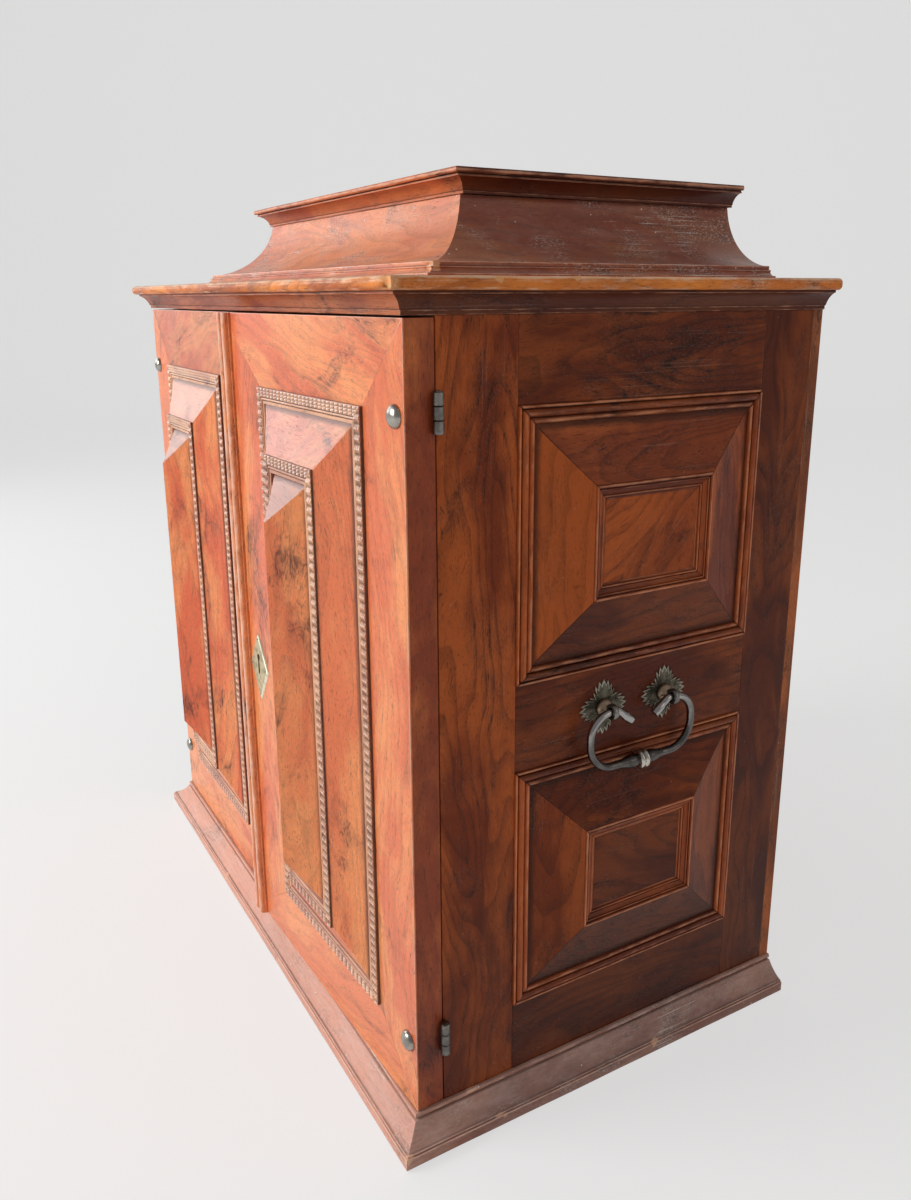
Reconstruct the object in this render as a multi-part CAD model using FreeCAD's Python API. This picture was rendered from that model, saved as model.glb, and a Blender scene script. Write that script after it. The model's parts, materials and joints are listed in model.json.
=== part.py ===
# Walnut tabletop cabinet of curiosities on a moulded plinth: two ripple-moulded doors with hipped
# panels, raised panels and bail handles on the sides, eight drawers, and a lidded caddy top.
# Millimetres. +X is to the right seen from the front, +Y to the back, +Z up.
import FreeCAD, Part
import math
import os

# Overall case
case_w = 594.0
case_d = 356.0
plinth_h = 28.0
case_h = 562.0
side_t = 18.0
back_t = 10.0
base_rail_w = 60.0
case_bottom_t = 8.0
stand_off = 0.3

# Plinth moulding
plinth_reach = 18.9
plinth_fascia_h = 9.5
plinth_round = 1.5
plinth_bead_reach = 2.6
plinth_bead_h = 3.6
plinth_quirk = 1.5
plinth_cyma_reach = 3.3
plinth_cyma_bow = 1.4
plinth_fillet_w = 1.2
plinth_fillet_h = 1.4

# Cornice moulding and slab
cornice_h = 14.0
cornice_reach = 10.5
cornice_foot_h = 3.2
cornice_foot_reach = 1.3
cornice_quirk = 1.0
cornice_bow = 1.1
cornice_top_h = 1.8
slab_t = 8.5
slab_reach = 16.0
slab_edge_flat = 2.0

# Caddy top
caddy_inset = 107.0
caddy_front_inset = 102.0
cove_r = 46.0
cove_bow = 10.6
cove_ledge = 1.5
caddy_foot_h = 10.5
caddy_wall = 8.0
caddy_base_reach = 10.5
caddy_base_foot_h = 2.8
caddy_band_reach = 3.0
caddy_band_h = 4.0
caddy_bead_h = 1.2
caddy_base_bow = 1.3
lining_t = 6.0
caddy_floor_t = 4.0
caddy_back_t = 12.0

# Lid
lid_gap = 0.9
lid_t = 16.0
lid_inset = 107.0
lid_front_inset = 106.5
lid_reach = 18.0
lid_foot_reach = 5.5
lid_foot_h = 1.8
lid_cavetto_reach = 14.0
lid_cavetto_h = 8.4
lid_bow = 1.5
lid_fillet_reach = 15.6
lid_fillet_h = 1.1
lid_quirk_h = 0.9
lid_edge_round = 0.8

# Side frames and raised panels
front_stile_w = 59.5
back_stile_w = 48.8
top_rail_h = 56.5
mid_rail_h = 65.0
bottom_rail_h = 57.0
panel_back_gap = 4.0
panel_seat = 4.5
side_mould_w = 12.5
side_mould_rise = 3.4
side_centre_h = 58.95
side_slope_rise = 12.6
side_inner_w = 11.4
side_inner_lip = 1.4
side_pocket_depth = 7.6
side_centre_drop = 3.9

# Doors
door_t = 21.5
door_gap = 0.8
door_top_gap = 1.4
door_bottom_gap = 0.6
meeting_x = 11.7
meeting_gap = 0.6
hinge_stile_w = 54.8
middle_stile_w = 65.4
door_rail_top = 55.6
door_rail_bottom = 54.5
door_panel_back_gap = 3.0
door_panel_seat = 3.0
ripple_w = 12.6
ripple_rise = 4.6
ripple_inner_w = 3.0
door_slope_w = 33.3
door_slope_foot = 1.0
door_slope_rise = 16.2
door_pocket_depth = 4.2
inner_ripple_rise = 3.6
field_foot = 2.4
ridge_rise = 36.8
ajar_deg = 2.2

# Astragal on the right door
astragal_w = 20.0
astragal_base = 2.0
astragal_bead_w = 8.6
astragal_bead_h = 4.2

# Door hinges
hinge_offset = 3.6
hinge_height_in = 56.0
knuckle_r = 3.5
knuckle_l = 8.5
knuckle_gap = 0.2
pin_r = 1.5
pin_clearance = 0.05
pin_head_h = 0.8
leaf_t = 1.6
door_leaf_w = 34.0
case_leaf_w = 14.0
leaf_h = 26.0
rivet_inset = 11.0
rivet_drop = 2.0
rivet_head_r = 7.7
rivet_head_h = 4.6
rivet_shank_r = 2.5
rivet_clearance = 0.05

# Escutcheon and lock
escutcheon_w = 39.0
escutcheon_h = 61.0
escutcheon_t = 1.4
escutcheon_gap = 1.2
escutcheon_rise = 259.0
escutcheon_pin_r = 0.8
escutcheon_pin_h = 0.7
escutcheon_pin_in = 5.0
keyhole_rise = 9.0
keyhole_r = 2.8
keyhole_slot_w = 3.0
keyhole_slot_l = 15.5
lock_w = 62.0
lock_h = 50.0
lock_d = 19.2
lock_wall = 1.6
lock_edge_in = 2.7
bolt_h = 12.0
bolt_t = 4.0
bolt_l = 40.0
bolt_depth = 15.0
bolt_clearance = 0.3
bolt_nose_in = 1.2
bolt_stub_r = 2.0
bolt_stub_l = 5.0
keeper_l = 12.0
keeper_in = 2.0
keeper_depth = 20.5
keeper_wall = 2.0
keeper_gap_h = 14.0

# Sliding bolt on the left door
rod_r = 3.5
rod_l = 88.0
rod_in = 6.2
rod_clearance = 0.2
rod_end_gap = 0.6
rod_throw = 12.0
rod_knob_r = 2.6
rod_knob_l = 6.0
guide_w = 11.0
guide_h = 4.0
guide_depth = 12.3
guide_in = 7.0
guide_spacing = 44.0
rod_depth = 6.3
strike_w = 10.0
strike_t = 1.5
strike_let_in = 5.0
strike_gap = 0.8

# Drawers
drawer_recess = 31.7
partition_t = 24.0
inner_lining_t = 14.0
divider_t = 8.0
rows = 4
drawer_front_t = 10.0
drawer_side_t = 7.0
drawer_bottom_t = 5.0
drawer_play = 0.8
drawer_head_gap = 1.5
drawer_back_gap = 5.0
drawer_side_drop = 6.0
knob_r = 8.0
knob_l = 13.0
knob_neck_r = 3.2
knob_foot_r = 5.5
knob_foot_t = 1.5
knob_waist_l = 5.0

# Bail handles
bail_spacing = 57.2
bail_forward = 2.9
bail_rise = 1.5
rosette_r = 21.5
rosette_t = 1.3
boss_r = 8.0
boss_h = 5.0
eye_reach = 11.6
eye_r = 6.0
eye_hole_r = 3.4
eye_w = 4.4
eye_post_r = 3.2
bar_r = 2.9
bail_half_top = 47.0
bail_half_foot = 48.0
bail_drop = 43.5
bail_shoulder_r = 18.0
bail_corner_r = 21.0
bail_stub_in = 23.5
bail_stub_end = 11.0
bail_stub_drop = 10.0
bail_stub_r = 5.0
bail_ring_r = 7.4
bail_ring_w = 6.0
bail_swell_r = 5.0
bail_swell_l = 17.0

# Lid hinges
lid_knuckle_r = 3.0
lid_knuckle_l = 14.0
lid_pin_r = 1.3
lid_hinge_x = 120.0
lid_leaf_h = 12.0
lid_leaf_t = 1.5
lid_hinge_stand = 0.3

# Outline of a quarter of a rosette: angle as a share of a quarter turn, radius as a share of its reach
leaf_shares = [(0.0, 0.52), (0.13, 0.72), (0.15, 0.64), (0.26, 0.84), (0.29, 0.77), (0.39, 0.94),
               (0.43, 0.88), (0.5, 1.0), (0.57, 0.88), (0.61, 0.94), (0.71, 0.77), (0.74, 0.84),
               (0.85, 0.64), (0.87, 0.72)]

cut_over = 2.0

# Levels and places worked out from the sizes above
case_z = plinth_h
cornice_z = case_z + case_h
slab_z = cornice_z + cornice_h
caddy_z = slab_z + slab_t
cove_z = caddy_z + caddy_foot_h
caddy_top_z = cove_z + cove_r
lid_z = caddy_top_z + lid_gap
lid_top_z = lid_z + lid_t
half_w = case_w / 2
case_front_y = door_t + door_gap
back_y = case_d - back_t
door_z = case_z + door_bottom_gap
door_h = case_h - door_bottom_gap - door_top_gap
door_panel_w = half_w - hinge_stile_w - middle_stile_w
door_panel_h = door_h - door_rail_top - door_rail_bottom
hinge_x = half_w + hinge_offset
hinge_y = door_t + door_gap / 2
hinge_levels = (door_z + hinge_height_in, door_z + door_h - hinge_height_in)
side_panel_y = case_front_y + front_stile_w
side_panel_w = back_y - back_stile_w - side_panel_y
side_panel_h = (case_h - top_rail_h - mid_rail_h - bottom_rail_h) / 2
side_slope_w = (side_panel_h - side_centre_h) / 2 - side_mould_w - side_inner_w
side_panel_levels = (case_z + bottom_rail_h, case_z + bottom_rail_h + side_panel_h + mid_rail_h)
handle_y = side_panel_y + side_panel_w / 2 - bail_forward
handle_z = case_z + bottom_rail_h + side_panel_h + mid_rail_h / 2 + bail_rise
drawer_y = case_front_y + drawer_recess
partition_x = -meeting_x - meeting_gap / 2
right_column_x0 = partition_t / 2 + partition_x
left_column_x0 = partition_t / 2 - partition_x
column_x1 = half_w - side_t - inner_lining_t
bays_z = case_z + case_bottom_t
bay_h = (cornice_z - bays_z - (rows - 1) * divider_t) / rows
lock_z = door_z + escutcheon_rise
escutcheon_x = astragal_w - meeting_x + escutcheon_gap + escutcheon_w / 2
rod_x = meeting_x + meeting_gap + rod_in
rod_y = door_t + rod_depth
rod_top_z = cornice_z - rod_end_gap - rod_throw
lid_hinge_y = case_d + lid_leaf_t + lid_knuckle_r + lid_hinge_stand

ajar = math.radians(ajar_deg)
ridge_in = hinge_stile_w + door_panel_w / 2
front_reach_y = (hinge_y - (ridge_in + hinge_offset) * math.sin(ajar)
                 - (hinge_y + ridge_rise) * math.cos(ajar))
back_reach_y = lid_hinge_y + lid_knuckle_r
origin_y = (front_reach_y + back_reach_y) / 2

X_DIR = FreeCAD.Vector(1, 0, 0)
Y_DIR = FreeCAD.Vector(0, 1, 0)
Z_DIR = FreeCAD.Vector(0, 0, 1)


def vec(x, y, z):
    return FreeCAD.Vector(x, y, z)


def board(x0, x1, y0, y1, z0, z1):
    return Part.makeBox(x1 - x0, y1 - y0, z1 - z0, vec(x0, y0, z0))


def rod(radius, start, direction, length):
    return Part.makeCylinder(radius, length, start, direction)


def bow(start, end, rise):
    """An arc step from start to end; a positive rise bows it to the left of the way it goes"""
    run = math.hypot(end[0] - start[0], end[1] - start[1])
    off_a = -(end[1] - start[1]) / run * rise
    off_b = (end[0] - start[0]) / run * rise
    middle = ((start[0] + end[0]) / 2 + off_a, (start[1] + end[1]) / 2 + off_b)
    return middle, end


def outline_face(steps, spot):
    """The face inside steps: a point ends a line, and a pair of points is an arc's middle and end"""
    edges = []
    here = steps[0]
    for step in steps[1:] + [steps[0]]:
        if isinstance(step[0], tuple):
            middle, end = step
            edges.append(Part.Arc(spot(*here), spot(*middle), spot(*end)).toShape())
        else:
            end = step
            edges.append(Part.makeLine(spot(*here), spot(*end)))
        here = end
    return Part.Face(Part.Wire(edges))


def prism(points, low, high):
    """A plan outline from one level to another"""
    face = Part.Face(Part.makePolygon([vec(x, y, low) for x, y in points + points[:1]]))
    return face.extrude(vec(0, 0, high - low))


def mirrored(shapes):
    return [shape.mirror(vec(0, 0, 0), X_DIR) for shape in shapes]


def both_sides(shapes):
    return shapes + mirrored(shapes)


def cut_all(shape, tools):
    for tool in tools:
        shape = shape.cut(tool)
    return shape


def wall_moulding(steps, half_width, front_y, reach, low, high):
    """A front length and two side lengths round a plan, mitred in front and flush behind"""
    front_run = outline_face(steps, lambda p, z: vec(-half_width - reach, front_y - p, z))
    front_run = front_run.extrude(vec(2 * (half_width + reach), 0, 0))
    inner = min(step[0] for step in steps if not isinstance(step[0], tuple))
    front_plan = prism([(-half_width - inner, front_y - inner), (half_width + inner, front_y - inner),
                        (half_width + reach, front_y - reach), (-half_width - reach, front_y - reach)],
                       low, high)
    side_run = outline_face(steps, lambda p, z: vec(half_width + p, front_y - reach, z))
    side_run = side_run.extrude(vec(0, case_d - front_y + reach, 0))
    side_plan = prism([(half_width + inner, front_y - inner), (half_width + reach, front_y - reach),
                       (half_width + reach, case_d), (half_width + inner, case_d)], low, high)
    return [front_run.common(front_plan)] + both_sides([side_run.common(side_plan)])


def frame_lengths(steps, width, height, depth, low, high):
    """Four mitred lengths laid in a width by height rectangle; steps are inward and outward places"""
    across = outline_face(steps, lambda s, w: vec(0, s, w)).extrude(vec(width, 0, 0))
    foot = across.common(prism([(0, 0), (width, 0), (width - depth, depth), (depth, depth)], low, high))
    upright = outline_face(steps, lambda s, w: vec(s, 0, w)).extrude(vec(0, height, 0))
    left = upright.common(prism([(0, 0), (depth, depth), (depth, height - depth), (0, height)], low, high))
    centre = vec(width / 2, height / 2, 0)
    lengths = [foot, left]
    for length in (foot, left):
        turned = length.copy()
        turned.rotate(centre, Z_DIR, 180)
        lengths.append(turned)
    return lengths


def frustum(width, height, inset_low, inset_high, low, high):
    """Four slopes from one rectangle up to a smaller one"""
    def ring(inset, level):
        corners = [(inset, inset), (width - inset, inset),
                   (width - inset, height - inset), (inset, height - inset)]
        return Part.makePolygon([vec(u, v, level) for u, v in corners + corners[:1]])
    return Part.makeLoft([ring(inset_low, low), ring(inset_high, high)], True, True)


def facing_front(shapes, x, y, z):
    """Laid-out pieces stood up to face the front, their first corner at x, y, z"""
    place = FreeCAD.Placement(FreeCAD.Matrix(1, 0, 0, x, 0, 0, -1, y, 0, 1, 0, z, 0, 0, 0, 1))
    return [placed(shape, place) for shape in shapes]


def facing_right(shapes, x, y, z):
    """Laid-out pieces stood up to face the right, their first corner at x, y, z"""
    place = FreeCAD.Placement(FreeCAD.Matrix(0, 0, 1, x, 1, 0, 0, y, 0, 1, 0, z, 0, 0, 0, 1))
    return [placed(shape, place) for shape in shapes]


def placed(shape, place):
    moved = shape.copy()
    moved.Placement = place.multiply(moved.Placement)
    return moved


def write(name, shapes):
    """One file for each sub-part, moved so that the origin is under the middle of the whole"""
    whole = Part.makeCompound(shapes)
    whole.translate(vec(0, -origin_y, 0))
    whole.exportStep("parts/" + name + ".step")
    solids = whole.Solids
    print(name, len(solids), round(sum(solid.Volume for solid in solids)), whole.isValid())


# Plinth and base


def base_frame():
    inner_x = half_w - base_rail_w
    rails = [board(-half_w, half_w, 0, base_rail_w, 0, plinth_h),
             board(-half_w, half_w, case_d - base_rail_w, case_d, 0, plinth_h)]
    rails += both_sides([board(inner_x, half_w, base_rail_w, case_d - base_rail_w, 0, plinth_h)])
    return rails


def plinth_moulding():
    slope_top = plinth_h - plinth_bead_h - plinth_quirk
    fillet_z = plinth_fascia_h + plinth_fillet_h
    fillet_reach = plinth_reach - plinth_fillet_w
    steps = [(0, 0), (plinth_reach - plinth_round, 0),
             bow((plinth_reach - plinth_round, 0), (plinth_reach, plinth_round), -plinth_round / 5),
             (plinth_reach, plinth_fascia_h), (fillet_reach, plinth_fascia_h),
             (fillet_reach, fillet_z), (fillet_reach - plinth_fillet_w, fillet_z),
             bow((fillet_reach - plinth_fillet_w, fillet_z), (plinth_cyma_reach, slope_top), plinth_cyma_bow),
             (plinth_cyma_reach - plinth_bead_reach, slope_top),
             (plinth_cyma_reach - plinth_bead_reach, slope_top + plinth_quirk),
             (plinth_bead_reach, slope_top + plinth_quirk), (plinth_bead_reach, plinth_h), (0, plinth_h)]
    return wall_moulding(steps, half_w, 0, plinth_reach, 0, plinth_h)


# Case


def bolt_strike():
    """An iron plate let into the case top, behind which the left door's bolt slides"""
    return [board(-rod_x - strike_w / 2, -rod_x + strike_w / 2, case_front_y, case_front_y + strike_t,
                  rod_top_z + strike_gap, cornice_z + strike_let_in)]


def case_bottom():
    return [board(-half_w + side_t, half_w - side_t, case_front_y, back_y, case_z, bays_z)]


def case_top():
    top = board(-half_w, half_w, 0, case_d, cornice_z, slab_z)
    return [cut_all(top, bolt_strike())]


def case_back():
    return [board(-half_w, half_w, back_y, case_d, case_z, cornice_z)]


def case_leaf_pockets():
    return [board(half_w - case_leaf_w, half_w, case_front_y, case_front_y + leaf_t,
                  level - leaf_h / 2, level + leaf_h / 2) for level in hinge_levels]


def side_frame():
    """Two stiles and three rails of the right side, let in for the hinge leaves"""
    x0 = half_w - side_t
    panel_end = side_panel_y + side_panel_w
    stile = board(x0, half_w, case_front_y, side_panel_y, case_z, cornice_z)
    members = [cut_all(stile, case_leaf_pockets()),
               board(x0, half_w, panel_end, back_y, case_z, cornice_z)]
    low, high = side_panel_levels
    for z0, z1 in ((case_z, low), (low + side_panel_h, high), (high + side_panel_h, cornice_z)):
        members.append(board(x0, half_w, side_panel_y, panel_end, z0, z1))
    return members


def on_side(shapes):
    """Copies of a laid-out panel's pieces in both openings of both sides"""
    pieces = []
    for level in side_panel_levels:
        pieces += facing_right(shapes, half_w, side_panel_y, level)
    return both_sides(pieces)


def side_panel():
    """A board that rises in four slopes to a plateau, sunk for the inner moulding"""
    plateau_in = side_mould_w + side_slope_w
    body = board(0, side_panel_w, 0, side_panel_h, panel_back_gap - side_t, -panel_seat)
    foot = board(side_mould_w, side_panel_w - side_mould_w, side_mould_w, side_panel_h - side_mould_w,
                 -panel_seat, 0)
    slopes = frustum(side_panel_w, side_panel_h, side_mould_w, plateau_in, 0, side_slope_rise)
    pocket = board(plateau_in, side_panel_w - plateau_in, plateau_in, side_panel_h - plateau_in,
                   side_slope_rise - side_pocket_depth, side_slope_rise + cut_over)
    return [body.fuse(foot).fuse(slopes).removeSplitter().cut(pocket)]


def side_outer_moulding():
    """Bead, quirk, torus, quirk and bead, from the outer edge inward"""
    bead_w = side_mould_w / 5
    torus_w = side_mould_w * 2 / 5
    quirk = side_mould_w / 25
    bead_rise = side_mould_rise * 3 / 5
    torus_0 = bead_w + quirk
    torus_1 = torus_0 + torus_w
    bead_0 = torus_1 + quirk
    end = side_mould_w
    steps = [(0, -panel_seat), (end, -panel_seat), (end, bead_rise / 2),
             bow((end, bead_rise / 2), (bead_0, bead_rise / 2), -bead_rise / 2), (bead_0, 0), (torus_1, 0),
             (torus_1, bead_rise), bow((torus_1, bead_rise), (torus_0, bead_rise), bead_rise - side_mould_rise),
             (torus_0, 0), (bead_w, 0), (bead_w, bead_rise / 2),
             bow((bead_w, bead_rise / 2), (0, bead_rise / 2), -bead_rise / 2)]
    return frame_lengths(steps, side_panel_w, side_panel_h, side_mould_w, -panel_seat, side_mould_rise)


def side_inner_moulding():
    """A raised bead round the plateau that falls in a cavetto to the centre panel"""
    inset = side_mould_w + side_slope_w
    width = side_panel_w - 2 * inset
    height = side_panel_h - 2 * inset
    floor = side_slope_rise - side_pocket_depth
    bead_w = side_inner_w / 4
    lip = side_slope_rise + side_inner_lip / 2
    step_w = side_slope_rise - side_inner_lip / 2
    centre = side_slope_rise - side_centre_drop + side_inner_lip / 2
    steps = [(0, floor), (side_inner_w, floor), (side_inner_w, centre), (side_inner_w - bead_w / 2, centre),
             bow((side_inner_w - bead_w / 2, centre), (bead_w * 3 / 2, step_w), side_inner_lip / 2),
             (bead_w, step_w), (bead_w, lip), bow((bead_w, lip), (0, lip), -side_inner_lip / 2)]
    lengths = frame_lengths(steps, width, height, side_inner_w, floor, side_slope_rise + side_inner_lip)
    for length in lengths:
        length.translate(vec(inset, inset, 0))
    return lengths


def side_centre_panel():
    inset = side_mould_w + side_slope_w + side_inner_w
    return [board(inset, side_panel_w - inset, inset, side_panel_h - inset,
                  side_slope_rise - side_pocket_depth, side_slope_rise - side_centre_drop)]


# Cornice, caddy and lid


def cornice_moulding():
    top_z = slab_z - cornice_top_h
    foot_z = cornice_z + cornice_foot_h
    steps = [(0, cornice_z), (cornice_foot_reach, cornice_z), (cornice_foot_reach, foot_z),
             (cornice_foot_reach + cornice_quirk, foot_z),
             bow((cornice_foot_reach + cornice_quirk, foot_z), (cornice_reach - cornice_quirk, top_z), cornice_bow),
             (cornice_reach, top_z), (cornice_reach, slab_z), (0, slab_z)]
    return wall_moulding(steps, half_w, 0, cornice_reach, cornice_z, slab_z)


def cornice_slab():
    """One thick board whose front and side edges are half-round"""
    square = slab_reach - (slab_t - slab_edge_flat) / 2
    slab = board(-half_w - square, half_w + square, -square, case_d, slab_z, caddy_z)
    low = slab_z + (slab_t - slab_edge_flat) / 2
    steps = [(square, slab_z), bow((square, slab_z), (slab_reach, low), -slab_edge_flat / 2),
             (slab_reach, low + slab_edge_flat),
             bow((slab_reach, low + slab_edge_flat), (square, caddy_z), -slab_edge_flat / 2)]
    for length in wall_moulding(steps, half_w, 0, slab_reach, slab_z, caddy_z):
        slab = slab.fuse(length)
    return [slab.removeSplitter()]


def caddy_base_moulding():
    band_z = cove_z + stand_off - caddy_band_h
    foot_z = caddy_z + caddy_base_foot_h
    bead_reach = caddy_band_reach + caddy_bead_h
    plan_half = half_w - caddy_inset + cove_r + cove_ledge
    plan_front = caddy_front_inset - cove_r - cove_ledge
    steps = [(0, caddy_z), (caddy_base_reach, caddy_z), (caddy_base_reach, foot_z),
             bow((caddy_base_reach, foot_z), (bead_reach, band_z - caddy_bead_h), caddy_base_bow),
             (bead_reach, band_z), (caddy_band_reach, band_z), (caddy_band_reach, cove_z), (0, cove_z)]
    return wall_moulding(steps, plan_half, plan_front, caddy_base_reach, caddy_z, cove_z)


def caddy_coves():
    plan_half = half_w - caddy_inset
    foot_reach = cove_r + cove_ledge
    steps = [(-caddy_wall, caddy_z), (foot_reach, caddy_z), (foot_reach, cove_z), (cove_r, cove_z),
             bow((cove_r, cove_z), (0, caddy_top_z), cove_bow), (-caddy_wall, caddy_top_z)]
    return wall_moulding(steps, plan_half, caddy_front_inset, foot_reach, caddy_z, caddy_top_z)


def caddy_well():
    """Back board, floor and the three boards that line the compartment"""
    x1 = half_w - caddy_inset - caddy_wall
    y0 = caddy_front_inset + caddy_wall
    y1 = case_d - caddy_back_t
    floor_z = caddy_z + caddy_floor_t
    lining_z = caddy_top_z - caddy_floor_t / 2
    boards = [board(-x1, x1, y1, case_d, caddy_z, caddy_top_z),
              board(-x1, x1, y0, y1, caddy_z, floor_z),
              board(-x1, x1, y0, y0 + lining_t, floor_z, lining_z)]
    return boards + both_sides([board(x1 - lining_t, x1, y0 + lining_t, y1, floor_z, lining_z)])


def lid_board():
    x1 = half_w - lid_inset
    return [board(-x1, x1, lid_front_inset, case_d, lid_z, lid_top_z)]


def lid_moulding():
    foot_z = lid_z + lid_foot_h
    cavetto_z = foot_z + lid_cavetto_h
    fillet_z = cavetto_z + lid_fillet_h
    edge_z = fillet_z + lid_quirk_h
    quirk_reach = lid_fillet_reach - lid_quirk_h
    shoulder = lid_reach - lid_edge_round
    steps = [(0, lid_z), (lid_foot_reach, lid_z), (lid_foot_reach, foot_z),
             bow((lid_foot_reach, foot_z), (lid_cavetto_reach, cavetto_z), lid_bow),
             (lid_fillet_reach, cavetto_z), (lid_fillet_reach, fillet_z), (quirk_reach, fillet_z),
             (quirk_reach, edge_z), (shoulder, edge_z), (lid_reach, edge_z + lid_edge_round),
             (lid_reach, lid_top_z - lid_edge_round), (shoulder, lid_top_z), (0, lid_top_z)]
    return wall_moulding(steps, half_w - lid_inset, lid_front_inset, lid_reach, lid_z, lid_top_z)


# Inside of the case


def inner_linings():
    return both_sides([board(column_x1, half_w - side_t, drawer_y, back_y, bays_z, cornice_z)])


def centre_partition():
    """Behind the doors' meeting line, so that each bank of drawers clears the other door"""
    return [board(partition_x - partition_t / 2, partition_x + partition_t / 2, drawer_y, back_y, bays_z, cornice_z)]


def bay_level(row):
    return bays_z + row * (bay_h + divider_t)


def drawer_dividers():
    left, right = [], []
    for row in range(1, rows):
        top = bay_level(row)
        left.append(board(left_column_x0, column_x1, drawer_y, back_y, top - divider_t, top))
        right.append(board(right_column_x0, column_x1, drawer_y, back_y, top - divider_t, top))
    return right + mirrored(left)


def turned(points, start, direction):
    """A turned piece: places along its axis with the radius at each"""
    steps = [(along, radius) for along, radius in points]
    face = outline_face([(steps[0][0], 0)] + steps + [(steps[-1][0], 0)], lambda a, r: vec(r, 0, a))
    solid = face.revolve(vec(0, 0, 0), Z_DIR, 360)
    turn = FreeCAD.Rotation(Z_DIR, direction)
    return placed(solid, FreeCAD.Placement(start, turn))


def knob(x, y, z):
    waist = knob_foot_t + knob_waist_l
    points = [(0, knob_foot_r), (knob_foot_t, knob_foot_r), (knob_foot_t, knob_neck_r), (waist, knob_neck_r),
              (waist + knob_foot_t, knob_r), (knob_l - knob_foot_t, knob_r), (knob_l, knob_foot_r)]
    return turned(points, vec(x, y, z), -Y_DIR)


def drawer(row, column_x0):
    """A drawer in a bay from column_x0 to the right lining: front, two sides, back, bottom and knob"""
    x0 = column_x0 + drawer_play
    x1 = column_x1 - drawer_play
    z0 = bay_level(row) + stand_off
    z1 = bay_level(row) + bay_h - drawer_head_gap
    y1 = back_y - drawer_back_gap
    inside_y = drawer_y + drawer_front_t
    floor_z = z0 + drawer_bottom_t
    side_top = z1 - drawer_side_drop
    return [board(x0, x1, drawer_y, inside_y, z0, z1),
            board(x0, x0 + drawer_side_t, inside_y, y1, floor_z, side_top),
            board(x1 - drawer_side_t, x1, inside_y, y1, floor_z, side_top),
            board(x0 + drawer_side_t, x1 - drawer_side_t, y1 - drawer_side_t, y1, floor_z, side_top),
            board(x0, x1, inside_y, y1, z0, floor_z),
            knob((x0 + x1) / 2, drawer_y, (z0 + z1) / 2)]


# Doors, built as a right-hand door, its leading edge at x = edge


def door_members(edge):
    """Four members whose mitres run from the door's corners to the panel opening's corners"""
    z1 = door_z + door_h
    open_x1 = half_w - hinge_stile_w
    open_x0 = open_x1 - door_panel_w
    open_z0 = door_z + door_rail_bottom
    open_z1 = z1 - door_rail_top
    outer = [(edge, door_z), (half_w, door_z), (half_w, z1), (edge, z1)]
    opening = [(open_x0, open_z0), (open_x1, open_z0), (open_x1, open_z1), (open_x0, open_z1)]
    members = []
    for index in range(4):
        after = (index + 1) % 4
        corners = [outer[index], outer[after], opening[after], opening[index], outer[index]]
        face = Part.Face(Part.makePolygon([vec(x, 0, z) for x, z in corners]))
        members.append(face.extrude(vec(0, door_t, 0)))
    return members


def door_frame(edge):
    members = door_members(edge)
    tools = []
    for level in hinge_levels:
        tools.append(board(half_w - door_leaf_w, half_w, door_t - leaf_t, door_t,
                           level - leaf_h / 2, level + leaf_h / 2))
        tools.append(rod(rivet_shank_r + rivet_clearance,
                         vec(half_w - rivet_inset, -cut_over, level - rivet_drop), Y_DIR,
                         door_t + 2 * cut_over))
    members[1] = cut_all(members[1], tools)
    return members


def on_door(shapes):
    """A laid-out panel's pieces in the door's opening"""
    return facing_front(shapes, half_w - hinge_stile_w - door_panel_w, 0, door_z + door_rail_bottom)


def door_panel():
    plateau_in = ripple_w + door_slope_w
    body = board(0, door_panel_w, 0, door_panel_h, door_panel_back_gap - door_t, -door_panel_seat)
    foot = board(ripple_w, door_panel_w - ripple_w, ripple_w, door_panel_h - ripple_w,
                 -door_panel_seat, door_slope_foot)
    slopes = frustum(door_panel_w, door_panel_h, ripple_w, plateau_in, door_slope_foot, door_slope_rise)
    pocket = board(plateau_in, door_panel_w - plateau_in, plateau_in, door_panel_h - plateau_in,
                   door_slope_rise - door_pocket_depth, door_slope_rise + cut_over)
    return on_door([body.fuse(foot).fuse(slopes).removeSplitter().cut(pocket)])


def ripple_steps(floor, level, rise):
    """Outer bead, wide wave band and inner fillet of a ripple moulding, from its outer edge inward"""
    bead_w = ripple_w / 4
    band_0 = bead_w + ripple_w / 20
    band_1 = ripple_w - ripple_inner_w
    shoulder = level + rise / 2
    return [(0, floor), (ripple_w, floor), (ripple_w, level + rise / 4), (band_1, level + rise / 2),
            bow((band_1, shoulder), (band_0, shoulder), -rise / 2), (band_0, level + rise / 4),
            (bead_w, level + rise / 4), (bead_w, shoulder), bow((bead_w, shoulder), (0, shoulder), -rise / 5)]


def outer_ripple():
    steps = ripple_steps(-door_panel_seat, 0, ripple_rise)
    return on_door(frame_lengths(steps, door_panel_w, door_panel_h, ripple_w, -door_panel_seat, ripple_rise))


def inner_ripple():
    inset = ripple_w + door_slope_w
    floor = door_slope_rise - door_pocket_depth
    steps = ripple_steps(floor, door_slope_rise, inner_ripple_rise)
    lengths = frame_lengths(steps, door_panel_w - 2 * inset, door_panel_h - 2 * inset, ripple_w,
                            floor, door_slope_rise + inner_ripple_rise)
    for length in lengths:
        length.translate(vec(inset, inset, 0))
    return on_door(lengths)


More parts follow.
